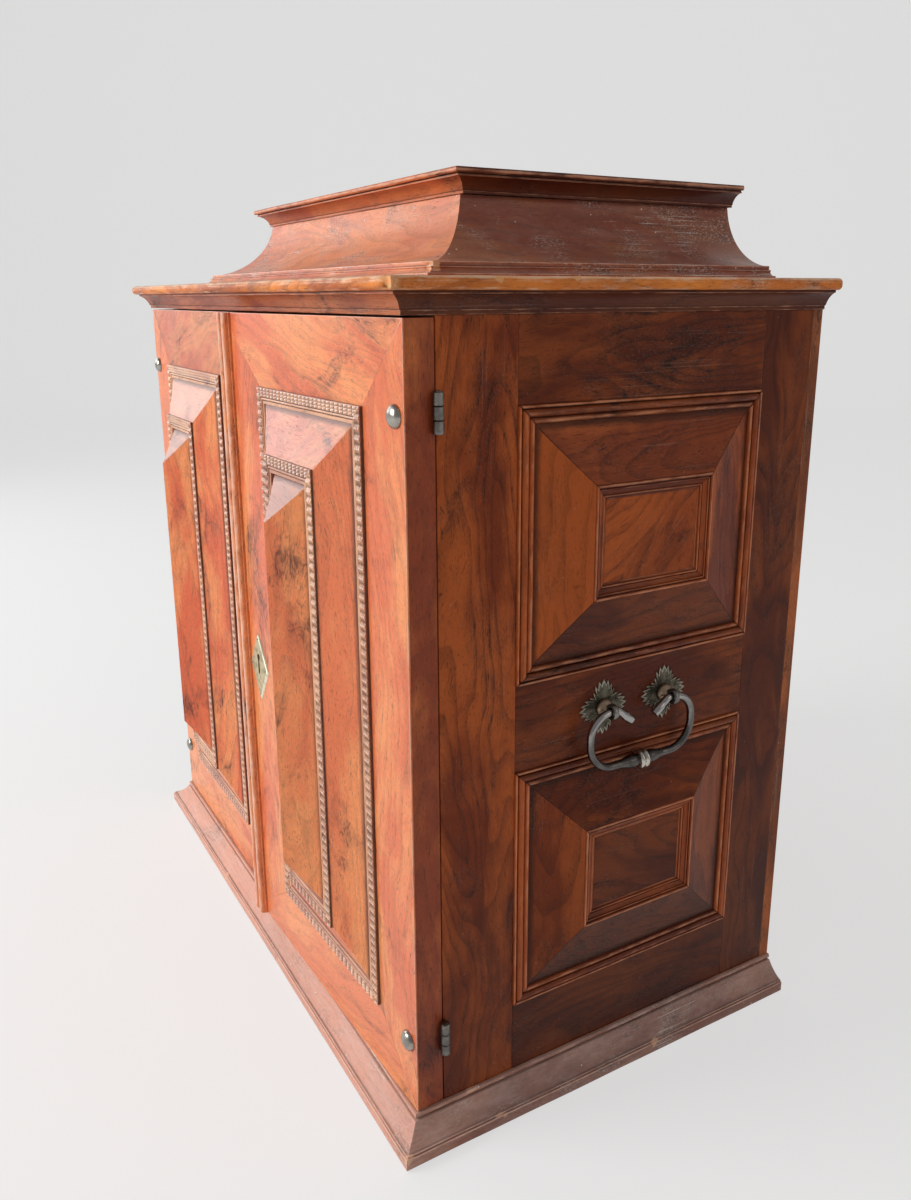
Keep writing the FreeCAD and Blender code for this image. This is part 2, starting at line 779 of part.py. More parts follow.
def door_field():
    """The hipped centre: a low block under four slopes that meet in an upright ridge"""
    inset = 2 * ripple_w + door_slope_w
    u0, u1 = inset, door_panel_w - inset
    v0, v1 = inset, door_panel_h - inset
    floor = door_slope_rise - door_pocket_depth
    eaves = floor + field_foot
    middle = door_panel_w / 2
    hip = middle - u0
    block = board(u0, u1, v0, v1, floor, eaves)
    low = [vec(u0, v0, eaves), vec(u1, v0, eaves), vec(u1, v1, eaves), vec(u0, v1, eaves)]
    ridge = [vec(middle, v0 + hip, ridge_rise), vec(middle, v1 - hip, ridge_rise)]
    rings = [[low[0], low[3], low[2], low[1]], [low[0], low[1], ridge[0]], [low[1], low[2], ridge[1], ridge[0]],
             [low[2], low[3], ridge[1]], [low[3], low[0], ridge[0], ridge[1]]]
    faces = [Part.Face(Part.makePolygon(ring + ring[:1])) for ring in rings]
    roof = Part.makeSolid(Part.makeShell(faces))
    return on_door([block.fuse(roof).removeSplitter()])


def knuckle(x, y, z0, length, radius):
    return rod(radius, vec(x, y, z0), Z_DIR, length)


def barrel_start(level):
    return level - (3 * knuckle_l + 2 * knuckle_gap) / 2


def door_leaves():
    """A leaf let into the door's back at each hinge, with the middle knuckle"""
    leaves = []
    for level in hinge_levels:
        z0 = barrel_start(level) + knuckle_l + knuckle_gap
        plate = board(half_w - door_leaf_w, half_w, door_t - leaf_t, door_t, level - leaf_h / 2, level + leaf_h / 2)
        neck = board(half_w - cut_over, hinge_x, door_t - leaf_t, door_t, z0, z0 + knuckle_l)
        leaf = plate.fuse(neck).fuse(knuckle(hinge_x, hinge_y, z0, knuckle_l, knuckle_r)).removeSplitter()
        holes = [knuckle(hinge_x, hinge_y, z0 - cut_over, knuckle_l + 2 * cut_over, pin_r + pin_clearance),
                 rod(rivet_shank_r + rivet_clearance, vec(half_w - rivet_inset, 0, level - rivet_drop), Y_DIR,
                     door_t + cut_over)]
        leaves.append(cut_all(leaf, holes))
    return leaves


def case_leaves():
    """A leaf let into the case's front edge at each hinge, with the upper and lower knuckles"""
    leaves = []
    for level in hinge_levels:
        start = barrel_start(level)
        leaf = board(half_w - case_leaf_w, half_w, case_front_y, case_front_y + leaf_t,
                     level - leaf_h / 2, level + leaf_h / 2)
        for z0 in (start, start + 2 * (knuckle_l + knuckle_gap)):
            neck = board(half_w - cut_over, hinge_x, case_front_y, case_front_y + leaf_t, z0, z0 + knuckle_l)
            leaf = leaf.fuse(neck).fuse(knuckle(hinge_x, hinge_y, z0, knuckle_l, knuckle_r))
        hole = knuckle(hinge_x, hinge_y, start - cut_over, leaf_h + 2 * cut_over, pin_r)
        leaves.append(leaf.removeSplitter().cut(hole))
    return both_sides(leaves)


def door_pins():
    pins = []
    for level in hinge_levels:
        start = barrel_start(level)
        length = 3 * knuckle_l + 2 * knuckle_gap
        pin = knuckle(hinge_x, hinge_y, start, length, pin_r)
        head = knuckle(hinge_x, hinge_y, start + length, pin_head_h, (knuckle_r + pin_r) / 2)
        pins.append(pin.fuse(head).removeSplitter())
    return both_sides(pins)


def dome(radius, height, start, direction):
    """A low round cap, its flat face at start"""
    sphere_r = (radius ** 2 + height ** 2) / (2 * height)
    angle = math.asin(radius / sphere_r) / 2
    middle = (sphere_r * math.cos(angle) - sphere_r + height, sphere_r * math.sin(angle))
    face = outline_face([(0, 0), (0, radius), (middle, (height, 0))], lambda a, r: vec(r, 0, a))
    cap = face.revolve(vec(0, 0, 0), Z_DIR, 360)
    return placed(cap, FreeCAD.Placement(start, FreeCAD.Rotation(Z_DIR, direction)))


def door_rivets():
    rivets = []
    for level in hinge_levels:
        at = vec(half_w - rivet_inset, 0, level - rivet_drop)
        shank = rod(rivet_shank_r, at, Y_DIR, door_t)
        rivets.append(dome(rivet_head_r, rivet_head_h, at, -Y_DIR).fuse(shank).removeSplitter())
    return rivets


# Pieces of the right door alone


def astragal():
    """A flat strip with two beads along the right door's leading edge"""
    x0 = -meeting_x
    gap = (astragal_w - 2 * astragal_bead_w) / 3
    steps = [(x0, 0), (x0 + astragal_w, 0), (x0 + astragal_w, astragal_base)]
    for index in (1, 0):
        start = x0 + gap + index * (astragal_bead_w + gap)
        end = start + astragal_bead_w
        steps += [(end, astragal_base), bow((end, astragal_base), (start, astragal_base), -astragal_bead_h)]
    steps.append((x0, astragal_base))
    face = outline_face(steps, lambda x, w: vec(x, -w, door_z))
    return [face.extrude(vec(0, 0, door_h))]


def keyhole(depth):
    """A round hole with a slot under it, cut through to a depth behind the door's front"""
    over = escutcheon_t + cut_over
    bore_z = lock_z + keyhole_rise
    bore = rod(keyhole_r, vec(escutcheon_x, -over, bore_z), Y_DIR, depth + over)
    slot = board(escutcheon_x - keyhole_slot_w / 2, escutcheon_x + keyhole_slot_w / 2, -over, depth,
                 bore_z - keyhole_slot_l, bore_z)
    return bore.fuse(slot)


def escutcheon_pin_places():
    reach_x = escutcheon_w / 2 - escutcheon_pin_in
    reach_z = escutcheon_h / 2 - escutcheon_pin_in
    return [(escutcheon_x + x, lock_z + z) for x, z in ((reach_x, 0), (-reach_x, 0), (0, reach_z), (0, -reach_z))]


def escutcheon():
    corners = [(escutcheon_x - escutcheon_w / 2, lock_z), (escutcheon_x, lock_z - escutcheon_h / 2),
               (escutcheon_x + escutcheon_w / 2, lock_z), (escutcheon_x, lock_z + escutcheon_h / 2)]
    face = Part.Face(Part.makePolygon([vec(x, 0, z) for x, z in corners + corners[:1]]))
    plate = face.extrude(vec(0, -escutcheon_t, 0))
    return [plate.cut(keyhole(door_t))]


def escutcheon_pins():
    return [dome(escutcheon_pin_r, escutcheon_pin_h, vec(x, -escutcheon_t, z), -Y_DIR)
            for x, z in escutcheon_pin_places()]


def right_door_frame():
    """The lock stile is pierced by the keyhole"""
    members = door_frame(-meeting_x)
    members[3] = members[3].cut(keyhole(door_t + cut_over))
    return members


def lock_case():
    """An iron box on the door's back, open towards it, with a slot for the bolt"""
    x0 = -meeting_x + lock_edge_in
    y1 = door_t + lock_d
    z0 = lock_z - lock_h / 2
    outer = board(x0, x0 + lock_w, door_t, y1, z0, z0 + lock_h)
    hollow = board(x0 + lock_wall, x0 + lock_w - lock_wall, door_t - cut_over, y1 - lock_wall,
                   z0 + lock_wall, z0 + lock_h - lock_wall)
    bolt_y = door_t + bolt_depth
    slot = board(x0 - cut_over, x0 + lock_wall + cut_over, bolt_y - bolt_t / 2 - bolt_clearance,
                 bolt_y + bolt_t / 2 + bolt_clearance, lock_z - bolt_h / 2 - bolt_clearance,
                 lock_z + bolt_h / 2 + bolt_clearance)
    return [cut_all(outer, [hollow, slot])]


def lock_bolt():
    """A flat bar with a short stub that the key pushes"""
    x0 = -meeting_x + bolt_nose_in
    bolt_y = door_t + bolt_depth
    bar = board(x0, x0 + bolt_l, bolt_y - bolt_t / 2, bolt_y + bolt_t / 2, lock_z - bolt_h / 2, lock_z + bolt_h / 2)
    stub = rod(bolt_stub_r, vec(x0 + bolt_l - bolt_h, bolt_y - bolt_t / 2 - bolt_stub_l, lock_z), Y_DIR,
               bolt_stub_l + bolt_t / 2)
    return [bar.fuse(stub).removeSplitter()]


# Pieces of the left door alone, also built as if on the right


def lock_keeper():
    """An iron staple that the lock's bolt enters from the side"""
    x0 = meeting_x + meeting_gap + keeper_in
    outer_h = keeper_gap_h + 2 * keeper_wall
    outer = board(x0, x0 + keeper_l, door_t, door_t + keeper_depth, lock_z - outer_h / 2, lock_z + outer_h / 2)
    throat = board(x0 - cut_over, x0 + keeper_l + cut_over, door_t - cut_over, door_t + keeper_depth - keeper_wall,
                   lock_z - keeper_gap_h / 2, lock_z + keeper_gap_h / 2)
    legs = outer.cut(throat)
    return [legs]


def bolt_guides():
    guides = []
    for level in (rod_top_z - guide_in, rod_top_z - guide_in - guide_spacing):
        block = board(rod_x - guide_w / 2, rod_x + guide_w / 2, door_t, door_t + guide_depth,
                      level - guide_h / 2, level + guide_h / 2)
        hole = rod(rod_r + rod_clearance, vec(rod_x, rod_y, level - guide_h), Z_DIR, 2 * guide_h)
        guides.append(block.cut(hole))
    return guides


def door_bolt():
    """A round bar with a grip near its foot, drawn down at rest"""
    foot_z = rod_top_z - rod_l
    bar = rod(rod_r, vec(rod_x, rod_y, foot_z), Z_DIR, rod_l)
    grip = rod(rod_knob_r, vec(rod_x, rod_y, foot_z + guide_spacing / 4), Y_DIR, rod_r + rod_knob_l)
    return [bar.fuse(grip).removeSplitter()]


# Handles


def rosette(y):
    """A leaf-edged plate on the side rail"""
    points = []
    for quarter in range(4):
        for turn_share, reach_share in leaf_shares:
            angle = math.pi / 2 * (quarter + turn_share) + math.pi / 4
            points.append((y + rosette_r * reach_share * math.cos(angle),
                           handle_z + rosette_r * reach_share * math.sin(angle)))
    face = Part.Face(Part.makePolygon([vec(half_w, u, v) for u, v in points + points[:1]]))
    return face.extrude(vec(rosette_t, 0, 0))


def bail_places():
    return (handle_y - bail_spacing / 2, handle_y + bail_spacing / 2)


def handle_rosettes():
    return both_sides([rosette(y) for y in bail_places()])


def handle_eyes():
    """A round-shouldered boss whose neck ends in an eye"""
    eyes = []
    neck_end = eye_reach - rosette_t - (eye_r + eye_hole_r) / 2
    shoulder = bow((0, boss_r), (boss_h, eye_post_r), boss_h / 4)
    steps = [(0, 0), (0, boss_r), shoulder, (neck_end, eye_post_r), (neck_end, 0)]
    for y in bail_places():
        boss = outline_face(steps, lambda a, r: vec(r, 0, a)).revolve(vec(0, 0, 0), Z_DIR, 360)
        boss = placed(boss, FreeCAD.Placement(vec(half_w + rosette_t, y, handle_z), FreeCAD.Rotation(Z_DIR, X_DIR)))
        ring = rod(eye_r, vec(half_w + eye_reach, y - eye_w / 2, handle_z), Y_DIR, eye_w)
        hole = rod(eye_hole_r, vec(half_w + eye_reach, y - eye_w - cut_over, handle_z), Y_DIR,
                   2 * (eye_w + cut_over))
        eyes.append(boss.fuse(ring).cut(hole))
    return both_sides(eyes)


def rounded_run(points, radii):
    """Straight runs through points, joined by an arc of the given radius at each inner point"""
    edges = []
    here = points[0]
    for before, corner, after, radius in zip(points, points[1:], points[2:], radii):
        way_in = (corner - before).normalize()
        way_out = (after - corner).normalize()
        turn = way_in.getAngle(way_out)
        trim = radius * math.tan(turn / 2)
        start = corner - way_in * trim
        end = corner + way_out * trim
        inward = (way_out - way_in).normalize()
        middle = corner + inward * (radius / math.cos(turn / 2) - radius)
        edges.append(Part.makeLine(here, start))
        edges.append(Part.Arc(start, middle, end).toShape())
        here = end
    edges.append(Part.makeLine(here, points[-1]))
    return Part.Wire(edges)


def bail():
    """A round bar from stub to stub through both eyes, with a ring and two swellings on its grip"""
    x = half_w + eye_reach
    half = [(bail_stub_end, -bail_stub_drop), (bail_stub_in, 0), (bail_half_top, 0), (bail_half_foot, -bail_drop)]
    right = [vec(x, handle_y + y, handle_z + z) for y, z in half]
    left = [vec(x, handle_y - y, handle_z + z) for y, z in reversed(half)]
    radii = [bail_stub_r, bail_shoulder_r, bail_corner_r]
    path = rounded_run(right + left, radii + radii[::-1])
    first = right[1] - right[0]
    section = Part.Wire(Part.makeCircle(bar_r, right[0], first))
    bar = path.makePipeShell([section], True, True)
    grip = vec(x, handle_y - bail_ring_w / 2 - bail_swell_l, handle_z - bail_drop)
    waist = bar_r + (bail_swell_r - bar_r) / 3
    points = [(0, bar_r), (bail_swell_l * 3 / 5, bail_swell_r), (bail_swell_l * 4 / 5, bail_swell_r),
              (bail_swell_l, waist), (bail_swell_l, bail_ring_r), (bail_swell_l + bail_ring_w, bail_ring_r)]
    mirror_from = bail_swell_l + bail_ring_w / 2
    points += [(2 * mirror_from - along, radius) for along, radius in reversed(points[:4])]
    return [bar.fuse(turned(points, grip, Y_DIR))]


# Lid hinges


def lid_hinge(x):
    """The lid's leaf and the caddy's leaf of one hinge on the back, and its pin"""
    x0 = x - 3 * lid_knuckle_l / 2
    x1 = x + 3 * lid_knuckle_l / 2
    hole = rod(lid_pin_r + pin_clearance, vec(x0 - cut_over, lid_hinge_y, lid_z), X_DIR,
               x1 - x0 + 2 * cut_over)
    upper = board(x0, x1, case_d, case_d + lid_leaf_t, lid_z, lid_z + lid_leaf_h)
    lower = board(x0, x1, case_d, case_d + lid_leaf_t, caddy_top_z - lid_leaf_h, caddy_top_z)
    hub = rod(lid_knuckle_r, vec(x0 + lid_knuckle_l + knuckle_gap, lid_hinge_y, lid_z), X_DIR,
              lid_knuckle_l - 2 * knuckle_gap)
    web = board(x0 + lid_knuckle_l + knuckle_gap, x1 - lid_knuckle_l - knuckle_gap, case_d, lid_hinge_y,
                lid_z, lid_z + lid_leaf_t)
    lid_leaf = upper.fuse(web).fuse(hub).removeSplitter().cut(hole)
    caddy_leaf = lower
    for start in (x0, x1 - lid_knuckle_l):
        ring = rod(lid_knuckle_r, vec(start, lid_hinge_y, lid_z), X_DIR, lid_knuckle_l)
        arm = board(start, start + lid_knuckle_l, case_d, lid_hinge_y, caddy_top_z - lid_leaf_t, caddy_top_z)
        caddy_leaf = caddy_leaf.fuse(arm).fuse(ring)
    tight = rod(lid_pin_r, vec(x0 - cut_over, lid_hinge_y, lid_z), X_DIR, x1 - x0 + 2 * cut_over)
    lid_space = board(x0 + lid_knuckle_l, x1 - lid_knuckle_l, case_d + lid_leaf_t, back_reach_y + cut_over,
                      caddy_top_z - lid_leaf_h - cut_over, lid_z + lid_leaf_h)
    caddy_leaf = cut_all(caddy_leaf.removeSplitter(), [tight, lid_space])
    pin = rod(lid_pin_r, vec(x0, lid_hinge_y, lid_z), X_DIR, x1 - x0)
    return lid_leaf, caddy_leaf, pin


def swung_ajar(shapes):
    """The right door as it stands, a little open on its hinges"""
    swung = []
    for shape in shapes:
        turned_shape = shape.copy()
        turned_shape.rotate(vec(hinge_x, hinge_y, 0), Z_DIR, ajar_deg)
        swung.append(turned_shape)
    return swung


def build():
    os.makedirs("parts", exist_ok=True)
    lid_leaf, caddy_leaf, lid_pin = lid_hinge(lid_hinge_x)
    side_members = side_frame()
    left_edge = meeting_x + meeting_gap
    fixed = {
        "base_frame": base_frame(), "plinth_moulding": plinth_moulding(), "case_bottom": case_bottom(),
        "case_top": case_top(), "case_back": case_back(), "side_frame_right": side_members,
        "side_frame_left": mirrored(side_members), "side_panels": on_side(side_panel()),
        "side_outer_mouldings": on_side(side_outer_moulding()),
        "side_inner_mouldings": on_side(side_inner_moulding()),
        "side_centre_panels": on_side(side_centre_panel()), "inner_linings": inner_linings(),
        "centre_partition": centre_partition(), "drawer_dividers": drawer_dividers(),
        "cornice_moulding": cornice_moulding(), "cornice_slab": cornice_slab(),
        "caddy_base_moulding": caddy_base_moulding(), "caddy_coves": caddy_coves(),
        "caddy_well": caddy_well(), "case_hinge_leaves": case_leaves() + both_sides([caddy_leaf]),
        "hinge_pins": door_pins() + both_sides([lid_pin]), "handle_rosettes": handle_rosettes(),
        "handle_eyes": handle_eyes(), "bolt_strike": bolt_strike(),
    }
    right_door = {
        "right_door_frame": right_door_frame(), "right_door_panel": door_panel(),
        "right_door_outer_ripple": outer_ripple(), "right_door_inner_ripple": inner_ripple(),
        "right_door_field": door_field(), "right_door_hinge_leaves": door_leaves(),
        "right_door_rivets": door_rivets(), "astragal": astragal(), "escutcheon": escutcheon(),
        "escutcheon_pins": escutcheon_pins(), "lock_case": lock_case(), "lock_bolt": lock_bolt(),
    }
    left_door = {
        "left_door_frame": door_frame(left_edge), "left_door_panel": door_panel(),
        "left_door_outer_ripple": outer_ripple(), "left_door_inner_ripple": inner_ripple(),
        "left_door_field": door_field(), "left_door_hinge_leaves": door_leaves(),
        "left_door_rivets": door_rivets(), "lock_keeper": lock_keeper(), "bolt_guides": bolt_guides(),
        "door_bolt": door_bolt(),
    }
    for name, shapes in fixed.items():
        write(name, shapes)
    for name, shapes in right_door.items():
        write(name, swung_ajar(shapes))
    for name, shapes in left_door.items():
        write(name, mirrored(shapes))
    write("lid_board", lid_board())
    write("lid_moulding", lid_moulding())
    write("lid_hinge_leaves", both_sides([lid_leaf]))
    write("right_bail", bail())
    write("left_bail", mirrored(bail()))
    for row in range(rows):
        write("right_drawer_" + str(row + 1), drawer(row, right_column_x0))
        write("left_drawer_" + str(row + 1), mirrored(drawer(row, left_column_x0)))


build()
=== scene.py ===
import json
import math

import bmesh
import bpy
from bpy.props import FloatProperty, FloatVectorProperty, PointerProperty
from mathutils import Matrix, Vector, noise


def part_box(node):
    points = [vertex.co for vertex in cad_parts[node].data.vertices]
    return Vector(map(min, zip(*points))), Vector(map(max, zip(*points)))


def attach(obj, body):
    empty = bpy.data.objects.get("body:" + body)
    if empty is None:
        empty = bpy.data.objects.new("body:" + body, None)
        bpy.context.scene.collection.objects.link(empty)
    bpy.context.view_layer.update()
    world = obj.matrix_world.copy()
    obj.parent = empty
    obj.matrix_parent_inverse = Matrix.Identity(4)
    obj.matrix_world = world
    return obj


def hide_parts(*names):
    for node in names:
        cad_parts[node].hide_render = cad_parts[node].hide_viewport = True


bl_info = {
    "name": "Cabinet of curiosities",
    "version": (1, 0, 0),
    "blender": (4, 5, 0),
    "location": "3D View > Sidebar > Cabinet",
    "description": "Dresses a walnut table cabinet with ripple mouldings, raised panels and old ironwork",
    "category": "Object",
}

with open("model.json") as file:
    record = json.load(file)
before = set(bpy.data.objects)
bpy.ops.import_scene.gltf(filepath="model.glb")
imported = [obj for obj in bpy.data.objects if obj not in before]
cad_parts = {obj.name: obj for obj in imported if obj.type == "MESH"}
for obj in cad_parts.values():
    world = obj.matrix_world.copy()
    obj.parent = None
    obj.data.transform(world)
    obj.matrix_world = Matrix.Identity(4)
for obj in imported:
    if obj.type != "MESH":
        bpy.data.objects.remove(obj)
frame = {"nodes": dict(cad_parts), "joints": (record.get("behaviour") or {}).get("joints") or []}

MM = 0.001
WHITE = (1.0, 1.0, 1.0)
GOLDEN = (math.sqrt(5) - 1) / 2

# Without a seed the unevenness of the mouldings would differ from run to run
noise.seed_set(7)

# Places read from the frame, in metres
BASE_LO, BASE_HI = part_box("base_frame")
BACK_LO, BACK_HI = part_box("case_back")
SIDE_LO, SIDE_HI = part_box("side_frame_right")
PANELS_LO, PANELS_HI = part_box("side_outer_mouldings")
CENTRE_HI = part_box("side_centre_panels")[1]
TOP_LO, TOP_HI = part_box("case_top")
SLAB_LO, SLAB_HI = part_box("cornice_slab")
CADDY_LO, CADDY_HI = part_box("caddy_coves")
CADDY_BASE_LO, CADDY_BASE_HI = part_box("caddy_base_moulding")
LID_LO, LID_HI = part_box("lid_board")
DOOR_LO, DOOR_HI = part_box("left_door_frame")
PANEL_LO, PANEL_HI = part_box("left_door_outer_ripple")
HALF_W = BACK_HI.x
MEETING_X = DOOR_HI.x + 0.6 * MM
FRONT_Y = BASE_LO.y
REAR_Y = BACK_HI.y

JOINTS = {joint["name"]: joint for joint in frame["joints"]}
RIGHT_HINGE = Vector(JOINTS["right_door_hinge"]["pos_m"])
BAIL_PIVOT = Vector(JOINTS["right_bail_swing"]["pos_m"])
AJAR = -math.radians(JOINTS["right_door_hinge"]["range_deg"][0])

# Ways for a piece's x and y: lying flat, standing up, out of the front and into it
FLAT = ((1, 0, 0), (0, 1, 0))
UPRIGHT = ((0, 0, 1), (1, 0, 0))
OUTWARD = ((0, -1, 0), (1, 0, 0))
INWARD = ((0, 1, 0), (1, 0, 0))

# How the right door stands, turned a little open about its hinges
SWUNG = Matrix.Translation(RIGHT_HINGE) @ Matrix.Rotation(AJAR, 4, "Z") @ Matrix.Translation(-RIGHT_HINGE)


def length_prop(name, description, default):
    return FloatProperty(name=name, description=description, default=default, unit="LENGTH")


def power_prop(name, description, default):
    return FloatProperty(name=name, description=description, default=default, unit="POWER")


def colour_prop(name, description, default):
    return FloatVectorProperty(name=name, description=description, default=default, subtype="COLOR", size=3)


class CabinetSizes(bpy.types.PropertyGroup):
    """Sizes that change the look and keep the construction"""
    ripple_pitch: length_prop("Ripple pitch", "Length of one wave of the ripple mouldings", 6.7 * MM)
    ripple_height: length_prop("Ripple height", "Height of the waves on the ripple mouldings", 0.6 * MM)
    arris: length_prop("Arris", "Roundness of worn wooden edges", 0.35 * MM)
    margin: length_prop("Wear margin", "Width of the strip beside an edge where wear fades", 1.4 * MM)
    side_middle_rail: length_prop("Side middle rail", "Height of the rail between side panels", 65.0 * MM)
    veneer: length_prop("Door veneer", "Thickness of the veneer on the doors' fronts", 1.2 * MM)
    bail_bar: length_prop("Bail bar", "Radius of the round bar of the bail handles", 2.9 * MM)


class CabinetColours(bpy.types.PropertyGroup):
    """Colours of the woods and metals"""
    door_amber: colour_prop("Door walnut, amber", "Light parts of the door veneers", (0.99, 0.345, 0.120))
    door_red: colour_prop("Door walnut, red", "Main colour of the door veneers", (0.80, 0.155, 0.056))
    door_dark: colour_prop("Door walnut, dark", "Veins and growth lines of the doors", (0.10, 0.022, 0.013))
    side_amber: colour_prop("Side walnut, amber", "Light parts of the sides", (0.56, 0.125, 0.027))
    side_red: colour_prop("Side walnut, red", "Main colour of the sides", (0.225, 0.037, 0.009))
    side_dark: colour_prop("Side walnut, dark", "Veins and growth lines of the sides", (0.024, 0.006, 0.0035))
    worn: colour_prop("Worn edge", "Colour of rubbed arrises on the doors and the top", (0.96, 0.66, 0.52))
    side_worn: colour_prop("Worn side edge", "Colour of rubbed arrises on the sides", (0.80, 0.33, 0.17))
    raw: colour_prop("Raw wood", "Colour of chipped places", (0.78, 0.56, 0.34))
    # This dark colour stands for soiling and painted shade in grooves and hollows
    grime_and_shade: colour_prop("Grime", "Colour of dirt in grooves", (0.045, 0.014, 0.008))
    dust: colour_prop("Dust", "Colour of old dust on ledges", (0.80, 0.60, 0.54))
    # Painted sheen: this pale colour is laid over varnish that faces up, standing in for the reflection of
    # the light from above
    painted_sheen: colour_prop("Bloom", "Colour of the pale film on varnish that faces up", (0.66, 0.49, 0.49))
    softwood: colour_prop("Carcase wood", "Colour of the unpolished carcase wood", (0.46, 0.27, 0.13))
    iron: colour_prop("Iron", "Colour of the forged iron", (0.125, 0.115, 0.11))
    bright: colour_prop("Rubbed iron", "Colour of iron rubbed bright by hands", (0.40, 0.37, 0.33))
    bronze: colour_prop("Bronze", "Colour of the dark rosettes", (0.13, 0.115, 0.085))
    brass: colour_prop("Brass", "Colour of the pale old brass", (0.66, 0.56, 0.36))


class CabinetStage(bpy.types.PropertyGroup):
    """Light round the cabinet"""
    key: power_prop("Key light", "Power of the soft light before the doors", 53.0)
    window: power_prop("Window light", "Power of the soft light to the left of the doors", 12.0)
    fill: power_prop("Fill light", "Power of the soft light behind the right side", 6.0)
    sky: FloatProperty(name="Sky", description="Strength of the even light from all round", default=0.30)


def sizes():
    return bpy.context.scene.cabinet_sizes


def colours():
    return bpy.context.scene.cabinet_colours


# Outlines of mouldings


class Outline:
    """A closed section drawn in millimetres across and up, with the wear and wave of each point; negative
    wear darkens soiled grooves and hollows with painted shade
    """

    def __init__(self, across, up, wear=0.0):
        self.points = [(across, up, wear, 0.0)]

    def line(self, across, up, wear=0.0, wave=0.0):
        self.points.append((across, up, wear, wave))
        return self

    def arc(self, across, up, bulge, wear=0.0, steps=6, wave=0.0):
        """A round stretch that bows to the left of the way it goes, most worn at its crest"""
        here_a, here_u = self.points[-1][:2]
        run = math.hypot(across - here_a, up - here_u)
        half = 2 * math.atan(2 * bulge / run)
        for step in range(1, steps + 1):
            angle = half * (2 * step / steps - 1)
            if abs(half) < 1e-6:
                along, off = step / steps, 0.0
            else:
                along = 0.5 + math.sin(angle) / (2 * math.sin(half))
                off = run * (math.cos(angle) - math.cos(half)) / (2 * math.sin(half))
            crest = math.sin(math.pi * step / steps)
            spot_a = here_a + (across - here_a) * along - (up - here_u) / run * off
            spot_u = here_u + (up - here_u) * along + (across - here_a) / run * off
            fade = 0.0 if step == steps else wear * crest
            self.points.append((spot_a, spot_u, fade, wave * (0.35 + 0.65 * crest)))
        return self

    def worn(self, arris, margin):
        """The same outline in metres, each worn corner turned into a small round"""
        out = []
        total = len(self.points)
        for index, (across, up, wear, wave) in enumerate(self.points):
            before = Vector(self.points[index - 1][:2])
            here = Vector((across, up))
            after = Vector(self.points[(index + 1) % total][:2])
            way_in, way_out = here - before, after - here
            room_in, room_out = way_in.length * 0.45, way_out.length * 0.45
            if wear <= 0 or not room_in or not room_out or way_in.angle(way_out) < 0.5:
                out.append((here * MM, wear, wave * MM))
                continue
            way_in.normalize()
            way_out.normalize()
            small_in, small_out = min(arris, room_in * 0.6), min(arris, room_out * 0.6)
            wide_in, wide_out = min(margin, room_in), min(margin, room_out)
            start, end = here - way_in * small_in, here + way_out * small_out
            middle = (start + end) / 2 * 0.55 + here * 0.45
            out += [((here - way_in * wide_in) * MM, 0.0, wave * MM), (start * MM, wear, wave * MM),
                    (middle * MM, wear, wave * MM), (end * MM, wear, wave * MM),
                    ((here + way_out * wide_out) * MM, 0.0, wave * MM)]
        return out


# Pieces in their own coordinates: x along the grain, y across and z out


def straight_length(outline, length, foot=0.0, head=0.0, spacing=12 * MM, mitre_wear=0.0):
    """A moulding of this section; foot and head are how its ends slope with the way across"""
    size = sizes()
    section = outline.worn(size.arris / MM, size.margin / MM)
    waves = any(wave for _, _, wave in section)
    stations = [0.0, 0.4 * MM, size.margin]
    if waves:
        step = size.ripple_pitch / 8
        stations += [number * step for number in range(math.ceil(size.margin / step + 0.3),
                                                       math.floor((length - size.margin) / step - 0.3) + 1)]
    else:
        inner = max(1, round((length - 2 * size.margin) / spacing))
        stations += [size.margin + (length - 2 * size.margin) * step / inner for step in range(1, inner)]
    stations += [length - size.margin, length - 0.4 * MM, length]
    first = max(foot * spot.x for spot, _, _ in section) + 3 * MM
    final = length + min(head * spot.x for spot, _, _ in section) - 3 * MM
    points, wears = [], []
    last = len(stations) - 1
    for number, station in enumerate(stations):
        end_wear = mitre_wear if number in (0, 1, last - 1, last) else 0.0
        for spot, wear, wave in section:
            low = foot * spot.x
            high = length + head * spot.x
            x = low + (high - low) * station / length
            if waves and station < first:
                x = low + (first - low) * station / first
            elif waves and station <= final:
                x = station
            elif waves:
                x = high - (high - final) * (length - station) / (length - final)
            lift = wave * (1 - 2 * abs(math.sin(math.pi * x / size.ripple_pitch)) ** 1.2) if wave else 0.0
            dip = 0.12 * MM * abs(end_wear) if number in (0, last) else 0.0
            points.append((x, spot.x, spot.y + lift - dip))
            # Painted light: wave crests raise the wear so they are painted lighter as highlights, troughs
            # lower it so they are painted darker as shade
            crest = (1.1 if lift > 0 else 0.85) * lift / size.ripple_height if wave else 0.0
            if wear >= 0 and (end_wear < 0 or end_wear > wear):
                wear = end_wear
            wears.append(wear + crest)
    return points, skin(len(stations), len(section)), wears


def skin(rows, total, caps=True):
    """Faces between rows of points that each go once round, with a cap at either end"""
    faces = []
    for row in range(rows - 1):
        for step in range(total):
            near, far = row * total + step, row * total + (step + 1) % total
            faces.append((near, far, far + total, near + total))
    if caps:
        faces += [tuple(range(total)), tuple(range((rows - 1) * total, rows * total))]
    return faces


def rectangle(width, height):
    return [(0, 0), (width, 0), (width, height), (0, height)]


def scaled(pairs):
    """Places along a turned piece and their radii, from millimetres to metres"""
    return [(along * MM, radius * MM) for along, radius in pairs]


